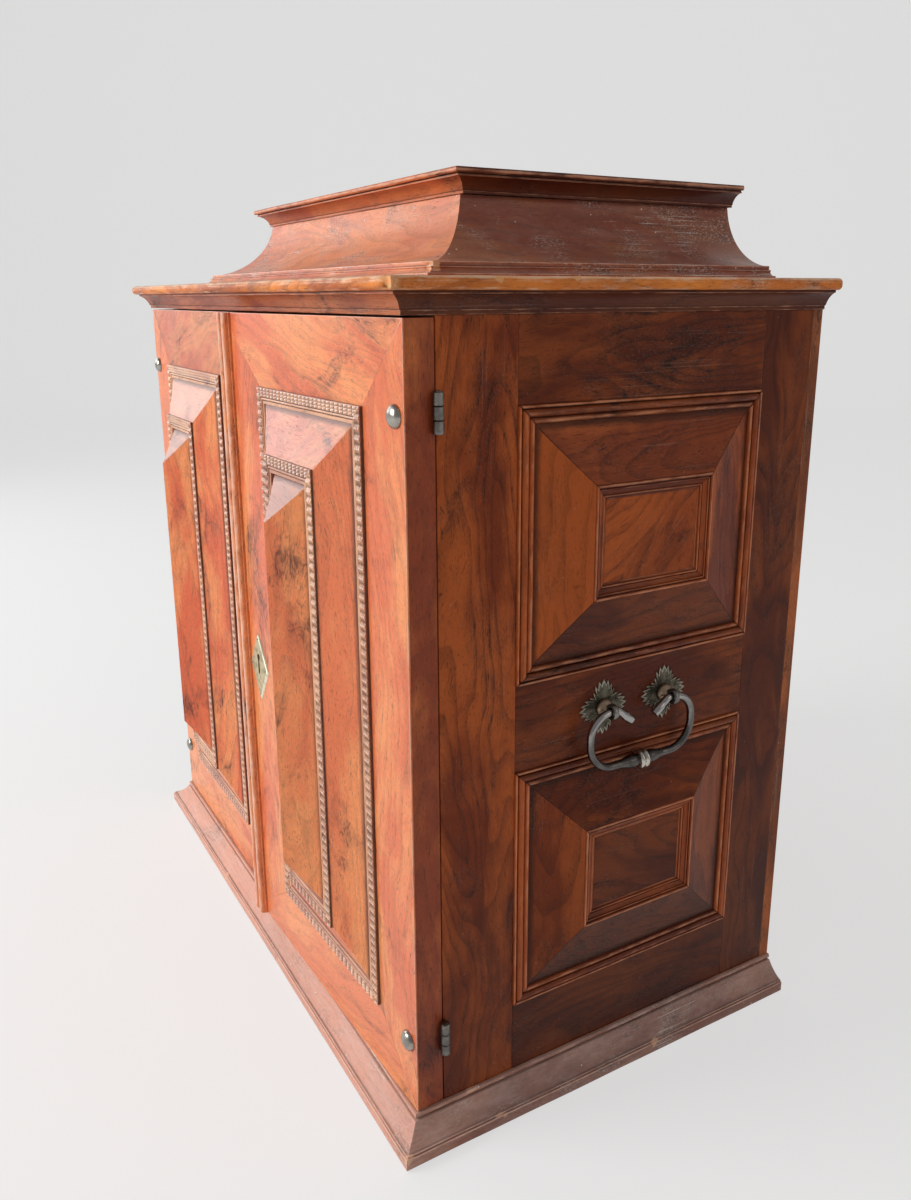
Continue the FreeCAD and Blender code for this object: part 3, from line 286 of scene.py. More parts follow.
def inset_corners(corners, distance):
    """A convex outline drawn in by a distance"""
    drawn = []
    total = len(corners)
    area = sum(corners[i][0] * corners[(i + 1) % total][1] - corners[(i + 1) % total][0] * corners[i][1]
               for i in range(total))
    side = 1 if area > 0 else -1
    for index in range(total):
        here = Vector(corners[index])
        into = (here - Vector(corners[index - 1])).normalized()
        onward = (Vector(corners[(index + 1) % total]) - here).normalized()
        left = Vector((-into.y, into.x)) * side
        beyond = Vector((-onward.y, onward.x)) * side
        bisector = (left + beyond).normalized()
        drawn.append(here + bisector * (distance / max(0.2, bisector.dot(left))))
    return drawn


def plate(corners, thickness, wear=1.0, margin=None, both=False):
    """A flat convex piece, its rounded face at z = 0 and its back at -thickness; wear may be one a corner"""
    size = sizes()
    arris = size.arris
    margin = min(size.margin if margin is None else margin, thickness * 0.4)
    rings = [(0.0, -margin, 0.0), (0.0, -arris, 1.0), (arris * 0.3, -arris * 0.3, 1.0), (arris, 0.0, 1.0),
             (margin, 0.0, 0.0)]
    if both:
        rings = [(inset, -thickness - level, rubbed) for inset, level, rubbed in reversed(rings)] + rings
    else:
        rings = [(0.0, -thickness, 0.0)] + rings
    points, wears = [], []
    for inset, level, rubbed in rings:
        for index, spot in enumerate(inset_corners(corners, inset)):
            points.append((spot[0], spot[1], level))
            wears.append(rubbed * (wear[index] if isinstance(wear, tuple) else wear))
    return points, skin(len(rings), len(corners)), wears


def board(low, high, wear=0.6):
    """A sawn board between two corners, rounded on all edges, with its grain along its longest side"""
    low, high = Vector(low), Vector(high)
    size = high - low
    order = sorted(range(3), key=lambda axis: -size[axis])
    along, across = Vector((0, 0, 0)), Vector((0, 0, 0))
    along[order[0]] = 1.0
    across[order[1]] = 1.0
    out = along.cross(across)
    start = Vector([high[axis] if out[axis] > 0.5 else low[axis] for axis in range(3)])
    corners = rectangle(size[order[0]], size[order[1]])
    return plate(corners, size[order[2]], wear, both=True), place(start, along, across)


def turned(stations, sides=32, wear=0.5, facets=0.0):
    """A round piece about x; stations are places along it with their radii"""
    points, wears = [], []
    for row, (along, radius) in enumerate(stations):
        for side in range(sides):
            angle = 2 * math.pi * side / sides
            bump = 1 + facets * math.sin(3 * angle + 2 * row) * math.sin(5 * angle + row)
            points.append((along, radius * bump * math.cos(angle), radius * bump * math.sin(angle)))
            wears.append(wear)
    return points, skin(len(stations), sides), wears


# Painted highlight: the side of a bail bar that faces this way is painted lighter, the far side darker
PAINTED_HIGHLIGHT_WAY = Vector((0.45, -0.6, 0.66))


def swept(path, radii, rubbed, sides=20):
    """A round bar along a path of points, its thickness and wear changing on the way; the side facing one way
    is painted lighter as a highlight and the far side darker as shade
    """
    points, wears = [], []
    total = len(path)
    across = None
    for row, spot in enumerate(path):
        way = (path[min(row + 1, total - 1)] - path[max(row - 1, 0)]).normalized()
        if across is None:
            across = way.orthogonal().normalized()
        across = (across - way * across.dot(way)).normalized()
        other = way.cross(across)
        for side in range(sides):
            angle = 2 * math.pi * side / sides
            facing = across * math.cos(angle) + other * math.sin(angle)
            points.append(spot + facing * radii[row])
            wears.append(rubbed[row] + 0.6 * facing.dot(PAINTED_HIGHLIGHT_WAY))
    return points, skin(total, sides), wears


def rounded_path(corners, radii, steps=8):
    """A path through the corners, each inner corner turned into an arc of its radius"""
    path = [Vector(corners[0])]
    for index in range(1, len(corners) - 1):
        here = Vector(corners[index])
        back = (Vector(corners[index - 1]) - here).normalized()
        on = (Vector(corners[index + 1]) - here).normalized()
        half = back.angle(on) / 2
        radius = radii[index - 1]
        centre = here + (back + on).normalized() * radius / math.sin(half)
        first = here + back * radius / math.tan(half) - centre
        last = here + on * radius / math.tan(half) - centre
        for step in range(steps + 1):
            path.append(centre + first.slerp(last, step / steps).normalized() * radius)
    path.append(Vector(corners[-1]))
    return path


def evened(path, spacing):
    """The same path with points no further apart than the spacing"""
    out = [path[0]]
    for here in path[1:]:
        gap = here - out[-1]
        pieces = max(1, math.ceil(gap.length / spacing))
        start = out[-1]
        out += [start + gap * step / pieces for step in range(1, pieces + 1)]
    return out


def eye_ring(radius, hole, width, sides=28, around=12):
    """A forged ring about y with a softened square section"""
    points, wears = [], []
    middle, thick = (radius + hole) / 2, (radius - hole) / 2
    for turn in range(sides):
        angle = 2 * math.pi * turn / sides
        for step in range(around):
            bend = 2 * math.pi * step / around
            out, side = math.cos(bend), math.sin(bend)
            reach = middle + thick * math.copysign(abs(out) ** 0.7, out)
            points.append((reach * math.cos(angle), width / 2 * math.copysign(abs(side) ** 0.7, side),
                           reach * math.sin(angle)))
            wears.append(0.5)
    count = sides * around
    faces = [tuple(corner % count for corner in face) for face in skin(sides + 1, around, caps=False)]
    return points, faces, wears


def polar_relief(rims, levels, height, caps=False):
    """A plate laid out round a point: rims holds (angle, inner, outer), levels the shares of the way out, and
    height gives z and wear for an angle and a share"""
    points, wears = [], []
    for share in levels:
        for angle, inner, outer in rims:
            reach = inner + (outer - inner) * share
            z, wear = height(angle, share)
            points.append((reach * math.cos(angle), reach * math.sin(angle), z))
            wears.append(wear)
    return points, skin(len(levels), len(rims), caps), wears


def place(origin, along, across):
    """Where a piece stands: its origin, its x way and its y way; z goes square to both"""
    along, across = Vector(along).normalized(), Vector(across).normalized()
    out = along.cross(across)
    return Matrix.Translation(origin) @ Matrix((along, across, out)).transposed().to_4x4()


class Shape:
    """Faces gathered for one object, with the grain, wear, tone and bare places that its finish reads; wear
    also carries painted highlights and shade, and tone painted light and shade on some pieces
    """
    pieces = 0

    def __init__(self):
        self.points, self.faces, self.finishes = [], [], []
        self.grain, self.wear, self.tone, self.raw = [], [], [], []

    def add(self, piece, where=None, tone=0.0, turn=0.0, mirror=False, finish=0):
        points, faces, wears = piece
        where = Matrix.Identity(4) if where is None else where
        Shape.pieces += 1
        shift = Vector([3.0 * ((Shape.pieces * GOLDEN * k) % 1.0) for k in (1.0, 1.7, 2.9)])
        grain_turn = Matrix.Rotation(-turn, 3, "Z")
        start = len(self.points)
        for point, wear in zip(points, wears):
            world = where @ Vector(point)
            if mirror:
                world.x = -world.x
            self.points.append(world)
            self.grain.append(grain_turn @ Vector(point) + shift)
            self.wear.append(wear)
            self.tone.append(tone)
            self.raw.append(0.0)
        self.faces += [tuple(start + corner for corner in face) for face in faces]
        self.finishes += [finish] * len(faces)
        return self

    def chip(self, centre, radius, depth, seed=0.0):
        """A broken place: nearby points are pulled in unevenly and show raw wood"""
        for index, point in enumerate(self.points):
            gap = (point - centre).length / radius
            if gap >= 1.2:
                continue
            rough = noise.noise(point / (2.5 * MM) + Vector((seed, 0, 0)))
            strength = max(0.0, min(1.0, 1.35 - 1.2 * gap + 0.6 * rough))
            self.raw[index] = max(self.raw[index], strength)
            inward = Vector((0, REAR_Y, 0)) - Vector((point.x, point.y, 0))
            self.points[index] = point + inward.normalized() * depth * strength

    def settle(self, amount, scale):
        """Hand-made unevenness"""
        for index, point in enumerate(self.points):
            self.points[index] = point + noise.noise_vector(point / scale) * amount

    def build(self, name, finishes, body, slot, moved=None, smooth=35.0, replaced=None):
        """The finished object; it stands for the built node of its own name unless others are given"""
        replaced = (name,) if replaced is None else replaced
        mesh = bpy.data.meshes.new(name)
        spots = [moved @ point for point in self.points] if moved else self.points
        mesh.from_pydata([tuple(spot) for spot in spots], [], self.faces)
        attribute = mesh.attributes.new("grain", "FLOAT_VECTOR", "POINT")
        attribute.data.foreach_set("vector", [value for grain in self.grain for value in grain])
        for label, values in (("wear", self.wear), ("tone", self.tone), ("raw", self.raw)):
            attribute = mesh.attributes.new(label, "FLOAT", "POINT")
            attribute.data.foreach_set("value", values)
        work = bmesh.new()
        work.from_mesh(mesh)
        bmesh.ops.recalc_face_normals(work, faces=work.faces)
        work.to_mesh(mesh)
        work.free()
        mesh.shade_smooth()
        mesh.set_sharp_from_angle(angle=math.radians(smooth))
        for finish in finishes if isinstance(finishes, tuple) else (finishes,):
            mesh.materials.append(finish_named(finish))
        mesh.polygons.foreach_set("material_index", self.finishes)
        piece = bpy.data.objects.new(name, mesh)
        bpy.context.scene.collection.objects.link(piece)
        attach(piece, body)
        if replaced:
            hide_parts(*replaced)


def rectangle_frame(shape, outline, where, width, height, tones=(0, 0, 0, 0), mirror=False, mitre_wear=0.0):
    """Four mitred lengths round a rectangle in a plane; the section's across goes inward"""
    corners = [Vector((0, 0, 0)), Vector((width, 0, 0)), Vector((width, height, 0)), Vector((0, height, 0))]
    ways = [Vector((1, 0, 0)), Vector((0, 1, 0)), Vector((-1, 0, 0)), Vector((0, -1, 0))]
    for index in range(4):
        length = width if index % 2 == 0 else height
        piece = straight_length(outline, length, 1.0, -1.0, mitre_wear=mitre_wear)
        inward = Vector((-ways[index].y, ways[index].x, 0))
        shape.add(piece, where @ place(corners[index], ways[index], inward), tones[index], mirror=mirror)


def three_sided_run(shape, outline, half_width, front_y, low, tones=(0, 0, 0), spacing=12 * MM):
    """A front length and two side lengths round a plan; the section's across goes outward"""
    front = straight_length(outline, 2 * half_width, -1.0, 1.0, spacing, mitre_wear=0.5)
    shape.add(front, place((half_width, front_y, low), (-1, 0, 0), (0, -1, 0)), tones[0])
    depth = REAR_Y - front_y
    side = straight_length(outline, depth, -1.0, 0.0, spacing, mitre_wear=0.5)
    upright = Matrix(((0, 1, 0, half_width), (1, 0, 0, front_y), (0, 0, 1, low), (0, 0, 0, 1)))
    shape.add(side, upright, tones[1])
    shape.add(side, upright, tones[2], mirror=True)


# Node trees written as sums


class Socket:
    """A node's output that takes part in sums"""

    def __init__(self, finish, socket):
        self.finish, self.socket = finish, socket

    def _maths(self, operation, *values):
        return self.finish.node("ShaderNodeMath", {"operation": operation}, dict(enumerate(values)))

    def __add__(self, other):
        return self._maths("ADD", self, other)

    def __radd__(self, other):
        return self._maths("ADD", other, self)

    def __sub__(self, other):
        return self._maths("SUBTRACT", self, other)

    def __rsub__(self, other):
        return self._maths("SUBTRACT", other, self)

    def __mul__(self, other):
        return self._maths("MULTIPLY", self, other)

    def __rmul__(self, other):
        return self._maths("MULTIPLY", other, self)

    def clipped(self):
        return self.finish.node("ShaderNodeClamp", {}, {"Value": self})

    def rising(self, low, high):
        """0 below low, 1 above high and even between"""
        return self.finish.node("ShaderNodeMapRange", {"interpolation_type": "SMOOTHSTEP"},
                                {"Value": self, "From Min": low, "From Max": high})


class Nodes:
    """A node tree under construction"""

    def __init__(self, tree):
        self.tree = tree

    def node(self, kind, settings, inputs, output=0):
        made = self.tree.nodes.new(kind)
        for key, value in settings.items():
            setattr(made, key, value)
        for key, value in inputs.items():
            self.feed(made.inputs[key], value)
        return Socket(self, made.outputs[output])

    def feed(self, socket, value):
        if isinstance(value, Socket):
            self.tree.links.new(value.socket, socket)
        elif hasattr(value, "__len__") and len(value) == 3 and len(getattr(socket, "default_value", ())) == 4:
            socket.default_value = (*value, 1.0)
        else:
            socket.default_value = value


class Finish(Nodes):
    """A material under construction"""

    def __init__(self, name):
        self.material = bpy.data.materials.new(name)
        self.material.use_nodes = True
        super().__init__(self.material.node_tree)
        self.shader = self.tree.nodes["Principled BSDF"]

    def set(self, name, value):
        self.feed(self.shader.inputs[name], value)

    def attribute(self, name, output="Fac"):
        return self.node("ShaderNodeAttribute", {"attribute_name": name}, {}, output)

    def stretch(self, vector, scales):
        return self.node("ShaderNodeVectorMath", {"operation": "MULTIPLY"}, {0: vector, 1: scales})

    def shift(self, vector, other, amount):
        """vector plus other, centred on nothing, times amount"""
        centred = self.node("ShaderNodeVectorMath", {"operation": "SUBTRACT"}, {0: other, 1: (0.5, 0.5, 0.5)})
        return self.node("ShaderNodeVectorMath", {"operation": "MULTIPLY_ADD"},
                         {0: centred, 1: amount, 2: vector})

    def noise(self, vector, scales, detail, roughness, output="Fac", distortion=0.0):
        """Noise with its own scale for each way"""
        return self.node("ShaderNodeTexNoise", {}, {
            "Vector": self.stretch(vector, scales), "Scale": 1.0, "Detail": detail,
            "Roughness": roughness, "Distortion": distortion}, output)

    def dashes(self, vector, scales, low, high):
        """Short marks where a stretched noise is high"""
        return self.noise(vector, scales, 1.0, 0.5).rising(low, high)

    def near(self, value, centre, low, high):
        """1 where a value is near its centre and 0 away from it"""
        gap = self.node("ShaderNodeMath", {"operation": "ABSOLUTE"}, {0: value - centre})
        return 1.0 - gap.rising(low, high)

    def mix(self, factor, first, second):
        return self.node("ShaderNodeMix", {"data_type": "RGBA"}, {0: factor, 6: first, 7: second}, 2)

    def bump(self, height, distance, strength, normal=None):
        inputs = {"Height": height, "Distance": distance, "Strength": strength}
        if normal is not None:
            inputs["Normal"] = normal
        return self.node("ShaderNodeBump", {}, inputs)


def walnut(name, amber, red, dark, worn, gloss=0.34, figure=1.0, dust=0.0, coat=0.25, rub=1.0, dirt_and_shade=0.8,
           specks=0.0, veins=0.6, shine=0.4, rings=0.16, painted_sheen=0.0, darker_towards_foot=0.0):
    """Old varnished walnut: clouded colour, growth lines, pores, rubbed arrises, painted highlights and
    sheen, and soiling with painted shade in the grooves
    """
    colour = colours()
    finish = Finish(name)
    grain = finish.attribute("grain", "Vector")
    drift = finish.noise(grain, (3.0, 10.0, 10.0), 2.0, 0.5, "Color")
    swirl = finish.noise(grain, (13.0, 30.0, 30.0), 2.0, 0.5, "Color")
    bent = finish.shift(grain, drift, (0.05 * figure, 0.075 * figure, 0.075 * figure))
    bent = finish.shift(bent, swirl, (0.016 * figure, 0.013 * figure, 0.013 * figure))

    field = finish.noise(bent, (2.2, 13.0, 13.0), 1.0, 0.4)
    count = field * 22.0
    ring = count - finish.node("ShaderNodeMath", {"operation": "FLOOR"}, {0: count})
    late = ring.rising(0.40, 1.0) * (1.0 - ring.rising(0.95, 1.0))
    cloud = finish.noise(bent, (6.0, 19.0, 19.0), 4.0, 0.6)
    blotch = finish.noise(grain, (12.0, 22.0, 22.0), 5.0, 0.65, distortion=0.8)
    streak = finish.noise(bent, (5.0, 95.0, 95.0), 4.0, 0.6)
    curl = finish.noise(grain, (70.0, 16.0, 16.0), 1.0, 0.5)
    fibre = finish.noise(bent, (16.0, 620.0, 620.0), 3.0, 0.65)
    mottle = finish.noise(grain, (420.0, 520.0, 520.0), 2.0, 0.6)
    pore = finish.dashes(bent, (105.0, 1700.0, 1700.0), 0.60, 0.70)
    crack = finish.noise(bent, (9.0, 46.0, 46.0), 4.0, 0.6)
    seam = finish.near(crack, 0.5, 0.002, 0.016)
    burr = finish.noise(bent, (24.0, 48.0, 48.0), 1.0, 0.5, distortion=1.6)
    knot = finish.near(burr, 0.5, 0.006, 0.040)
    seam = (seam * blotch.rising(0.50, 0.62) * 0.6 + knot * blotch.rising(0.57, 0.68) * 0.55) * veins

    warmth = (cloud.rising(0.41, 0.59) * 0.90 + (curl - 0.5) * 0.45 + (streak - 0.5) * 0.60
              + (fibre - 0.5) * 0.25).clipped()
    tone = finish.attribute("tone")
    lifted = tone.clipped()
    shade = finish.mix(lifted, finish.mix(warmth, red, amber), amber)
    depth = (late * rings + blotch.rising(0.50, 0.76) * 0.52 + streak.rising(0.52, 0.80) * 0.28
             + fibre.rising(0.52, 0.80) * 0.24 + (mottle - 0.42) * 0.42 + pore * 0.40 + seam).clipped()
    shade = finish.mix(depth * (1.0 - lifted * 0.45), shade, dark)
    rough = gloss + (blotch - 0.5) * 0.20 + pore * 0.10
    shade = finish.mix((tone * -1.0).clipped(), shade, dark)
    # The colour is darker towards the bottom, fading out by 0.36 m up
    if darker_towards_foot:
        place_now = finish.node("ShaderNodeTexCoord", {}, {}, "Object")
        height = finish.node("ShaderNodeSeparateXYZ", {}, {0: place_now}, "Z")
        shade = finish.mix((1.0 - height.rising(0.03, 0.36)) * darker_towards_foot, shade, dark)
    wear = finish.attribute("wear")
    rubbed = finish.noise(grain, (60.0, 240.0, 240.0), 3.0, 0.6)
    # Rubbed arrises turn to the worn colour; on ripple crests the same mix is a painted highlight
    edge = (wear * 1.1 + (rubbed - 0.60) * 1.5).rising(0.30, 1.0) * (0.70 * rub)
    shade = finish.mix(edge, shade, worn)
    # Soiling and painted shade: negative wear in grooves, quirks, ripple troughs and the ripple's outer wall
    # darkens the colour
    dirt_and_shade_mask = (wear * -1.2 + (rubbed - 0.5) * 0.5).rising(0.10, 1.0) * dirt_and_shade
    shade = finish.mix(dirt_and_shade_mask, shade, colour.grime_and_shade)
    raw = (finish.attribute("raw") + (fibre - 0.5) * 0.3).rising(0.35, 0.6)
    shade = finish.mix(raw, shade, finish.mix(fibre, colour.raw, amber))
    rough = rough + raw * 0.3 + dirt_and_shade_mask * 0.2
    normal = finish.node("ShaderNodeNewGeometry", {}, {}, "Normal")
    up = finish.node("ShaderNodeSeparateXYZ", {}, {0: normal}, "Z")
    # Painted sheen: faces that look up are mixed towards the pale sheen colour, in place of the light's
    # reflection
    if painted_sheen:
        shade = finish.mix(up.rising(0.05, 0.60) * painted_sheen, shade, colour.painted_sheen)
    if dust:
        settled = finish.noise(grain, (24.0, 60.0, 60.0), 6.0, 0.72)
        veil = ((up.rising(-0.3, 0.9) * 0.60 + settled.rising(0.40, 0.74) * 0.75) * dust).clipped()
        shade = finish.mix(veil, shade, colour.dust)
        rough = rough + veil * 0.30
    if specks:
        cells = {"Vector": grain, "Scale": 100.0}
        near = finish.node("ShaderNodeTexVoronoi", {}, cells, "Distance")
        chance = finish.node("ShaderNodeTexVoronoi", {}, cells, "Color")
        lucky = finish.node("ShaderNodeSeparateColor", {}, {0: chance}, "Red").rising(0.62, 0.68)
        fleck = (1.0 - near.rising(0.03, 0.09)) * lucky * specks
        scuff = finish.noise(grain, (420.0, 800.0, 800.0), 3.0, 0.75).rising(0.52, 0.62)
        scratch = finish.dashes(grain, (9.0, 900.0, 900.0), 0.64, 0.76)
        mark = (fleck + (scratch * 0.6 + scuff * 0.34) * blotch.rising(0.46, 0.62) * specks).clipped()
        shade = finish.mix(mark, shade, between(colour.dust, (1.0, 0.95, 0.88), 0.45))
        rough = rough + mark * 0.2
    finish.set("Base Color", shade)
    finish.set("Roughness", rough.clipped())
    finish.set("Specular IOR Level", shine)
    finish.set("Coat Weight", coat)
    finish.set("Coat Roughness", 0.22)
    ripple = finish.noise(grain, (14.0, 30.0, 30.0), 2.0, 0.5)
    low = finish.bump(ripple, 1.1 * MM, 0.6)
    finish.set("Normal", finish.bump(pore + fibre * 0.35 + seam, 0.16 * MM, 0.55, low))
    return finish.material


def metal(name, colour, dark, rough=0.42, spots=0.5, scale=1.0, rugged=0.35):
    """Old metal: dull skin broken by rubbed places and small pits; on the bail the bright places also hold a
    painted highlight
    """
    finish = Finish(name)
    spot = finish.node("ShaderNodeTexCoord", {}, {}, "Object")
    cloud = finish.noise(spot, (90.0 * scale,) * 3, 4.0, 0.6)
    pits = finish.noise(spot, (700.0, 700.0, 700.0), 3.0, 0.6)
    scratch = finish.noise(spot, (300.0, 2600.0, 900.0), 2.0, 0.6)
    wear = finish.attribute("wear")
    skin = (cloud.rising(0.40, 0.66) * spots + pits.rising(0.55, 0.75) * 0.4 * spots - wear * 0.35).clipped()
    bright = tuple(min(1.0, 1.9 * value + 0.12) for value in colour)
    # Worn places turn to the bright colour; on the bail bar the wear also carries a painted highlight
    shade = finish.mix((wear - 0.45 + (cloud - 0.5) * 0.6).rising(0.0, 0.5), colour, bright)
    finish.set("Base Color", finish.mix(skin, shade, dark))
    finish.set("Metallic", 1.0)
    finish.set("Roughness", (rough + skin * 0.18 + (scratch - 0.5) * 0.15).clipped())
    finish.set("Normal", finish.bump(pits * 0.6 + cloud * 0.8 + scratch * 0.2, rugged * MM, 0.55))
    return finish.material


MATERIALS = {}


def between(one, other, share):
    return tuple(a * (1 - share) + b * share for a, b in zip(one, other))


def finish_named(name):
    """The finish of that name, made once"""
    if name in MATERIALS:
        return MATERIALS[name]
    colour = colours()
    door = (colour.door_amber, colour.door_red, colour.door_dark, colour.worn)
    side = (colour.side_amber, colour.side_red, colour.side_dark, colour.side_worn)
    middle, upper, edge = [[between(one, other, share) for one, other in zip(door, side)]
                           for share in (0.38, 0.72, 0.82)]
    # Ripple colours: the pale last one serves rubbed arrises and the painted highlights on wave crests
    carved = ((0.92, 0.50, 0.28), (0.58, 0.24, 0.14), (0.14, 0.04, 0.03), (1.0, 0.80, 0.68))
    # Plinth colours: walnut under real dust, its pinkish amber a painted sheen of reflected light
    dust_and_sheen = ((0.80, 0.36, 0.24), (0.44, 0.15, 0.09), colour.side_dark, colour.worn)
    # Slab colours: bright amber, partly painted light to match its lit edges
    slab = ((1.0, 0.325, 0.060), (0.56, 0.14, 0.035), colour.door_dark, (1.0, 0.72, 0.50))
    pale = [tuple(min(1.0, value * share) for value in colour.softwood) for share in (1.3, 1.0, 0.4, 1.5)]
    stained = [between(one, other, 0.85) for one, other in zip(pale, side)]
    iron_dark, bronze_dark, brass_dark = [tuple(0.3 * value for value in tint)
                                          for tint in (colour.iron, colour.bronze, colour.brass)]
    handled = between(colour.iron, colour.bright, 0.35)
    # The boss is bronze warmed towards copper: the warm part is a painted reflection of the orange wood
    bronze_with_painted_reflection = between(colour.bronze, (0.66, 0.44, 0.30), 0.42)
    woods = {
        "walnut_door": (door, dict(gloss=0.32, figure=1.25, coat=0.20, shine=0.36, painted_sheen=0.26)),
        "walnut_door_edge": (edge, dict(gloss=0.40, figure=0.6, veins=0.3, coat=0.05, shine=0.25)),
        "walnut_side": (side, dict(gloss=0.36, figure=1.35, specks=0.12, coat=0.03, veins=0.35, shine=0.13,
                                   rings=0.34, darker_towards_foot=0.42)),
        "walnut_dark_moulding": (side, dict(gloss=0.36, figure=0.35, coat=0.05, shine=0.2)),
        "walnut_moulding": (upper, dict(gloss=0.38, figure=0.35, specks=0.12, coat=0.04, shine=0.16)),
        "walnut_ripple": (carved, dict(gloss=0.30, figure=0.3, rub=1.35, dirt_and_shade=0.9, painted_sheen=0.30)),
        "walnut_dusty": (dust_and_sheen, dict(gloss=0.44, figure=0.8, dust=0.40, specks=1.2, coat=0.1, shine=0.3)),
        "walnut_caddy": (middle, dict(gloss=0.38, figure=1.2, dust=0.16, specks=1.5, coat=0.12, shine=0.26,
                                      rings=0.24)),
        "walnut_slab": (slab, dict(gloss=0.42, figure=0.9, specks=0.9, coat=0.0, shine=0.12, rings=0.35)),
        "walnut_drawer": (middle, dict(gloss=0.40, figure=1.0)),
        "walnut_edge": (edge, dict(gloss=0.44, figure=0.6, coat=0.1, veins=0.4)),
        "back_board": (stained, dict(gloss=0.58, figure=0.8, coat=0.0, specks=0.3, shine=0.25)),
        "drawer_board": (pale, dict(gloss=0.62, figure=0.5, coat=0.0, veins=0.3, rub=0.5, shine=0.25)),
    }
    metals = {
        "iron": (colour.iron, iron_dark, 0.20, 0.5, 1.0, 0.2),
        "boss": (bronze_with_painted_reflection, iron_dark, 0.34, 0.6),
        "hinge_iron": (handled, iron_dark, 0.36, 0.6),
        "keyhole_painted_shade": (iron_dark, (0.0, 0.0, 0.0), 0.9, 1.0),
        "rubbed_iron": (handled, iron_dark, 0.30, 0.75),
        "bright_iron": (colour.bright, colour.iron, 0.24, 0.7, 1.0, 0.12),
        "collar": ((0.50, 0.46, 0.41), colour.iron, 0.24, 0.25, 1.0, 0.08),
        "bronze": (colour.bronze, bronze_dark, 0.42, 0.7, 2.0),
        "brass": (colour.brass, brass_dark, 0.4, 0.6, 2.0),
    }
    if name in woods:
        tints, settings = woods[name]
        MATERIALS[name] = walnut(name, *tints, **settings)
    else:
        MATERIALS[name] = metal(name, *metals[name])
    return MATERIALS[name]


# Planes on which the panels are laid out


def front_plane(x, y, z):
    """x across, z up, out of the front"""
    return place((x, y, z), (1, 0, 0), (0, 0, 1))


def side_plane(x, y, z):
    """y across, z up, out of the right side"""
    return place((x, y, z), (0, 1, 0), (0, 0, 1))


# Outlines, in millimetres across and up


def drawn(*spots):
    """An outline from corners (across, up, wear) and rounds (across, up, bulge, wear, steps)"""
    outline = Outline(*spots[0])
    for spot in spots[1:]:
        (outline.arc if len(spot) > 3 else outline.line)(*spot)
    return outline


PLINTH_OUTLINE = drawn((0, 0), (17.2, 0, 0.4), (18.8, 1.6, -0.45, 0.5), (18.8, 9.3, 0.9), (17.6, 9.5, -0.6),
                       (17.6, 10.9, 0.8), (16.5, 10.9, -1.0), (3.3, 22.9, 1.3, 0.1, 10), (3.3, 22.9, 0.7),
                       (0.7, 22.9, -1.0), (0.7, 24.3, -1.0), (2.1, 24.3, 0.5), (2.1, 27.9, -0.5, 0.6),
                       (0, 28, -0.6))
CORNICE_OUTLINE = drawn((0, 0, -0.8), (1.3, 0, 0.6), (1.3, 3.1, 0.7), (2.2, 3.1, -0.8),
                        (9.5, 12.1, 1.2, 0.1, 8), (10.4, 12.1, 0.7), (10.4, 14, -1.0), (0, 14))
SLAB_OUTLINE = drawn((-78, 0), (12.2, 0, -0.2), (16.0, 2.8, -0.8, 0.6), (16.0, 5.4, 0.6),
                     (12.2, 8.4, -0.9, 0.9), (-78, 8.4))
CADDY_BASE_OUTLINE = drawn((-2, 0), (10.4, 0, 0.4), (10.4, 2.7, 0.8), (4.6, 5.2, 0.9, 0.0), (4.6, 6.1, -0.4),
                           (4.6, 7.3, -0.5, 0.8, 4), (3.0, 7.3, -0.7), (3.0, 10.4, 0.9), (-2, 10.4))
COVE_OUTLINE = drawn((-8, 0), (47.5, 0), (47.5, 10.3, 0.0), (46.2, 10.4, -0.6), (0.3, 56.4, 10.7, 0.0, 22),
                     (0, 57.2, 0.8), (-8, 57.2))
LID_OUTLINE = drawn((-3, 0), (5.4, 0, -0.4), (5.4, 1.8, 0.7), (5.9, 1.9, -0.7), (13.9, 10.2, 1.6, 0.0, 8),
                    (15.5, 10.2, 0.8), (15.5, 11.3, 0.7), (14.7, 11.4, -1.0), (14.7, 12.1, -1.0),
                    (17.3, 12.2, 0.6), (17.3, 15.8, -0.7, 0.9), (-3, 15.9))
SIDE_OUTER_OUTLINE = drawn((0, -4), (0, 0.9, 0.4), (2.3, 0.9, 0.9, 0.9), (2.4, -0.3, -1.0), (3.0, -0.3, -1.0),
                           (3.1, 1.4, 0.2), (7.8, 1.6, 1.6, 0.5, 8), (8.0, 0.1, -1.0), (8.5, 0.1, -1.0),
                           (8.6, 1.2, 0.2), (12.4, 0.9, 1.2, 0.75), (12.5, -4, -1.0))
# The four slopes, a little hollow, from the outer moulding up to the plateau
SIDE_SLOPE_OUTLINE = drawn((12.5, -4), (12.5, 0.1, -1.0), (54.6, 12.5, -0.5, 0.0, 6), (55, 12.6, 0.5),
                           (55, -4))
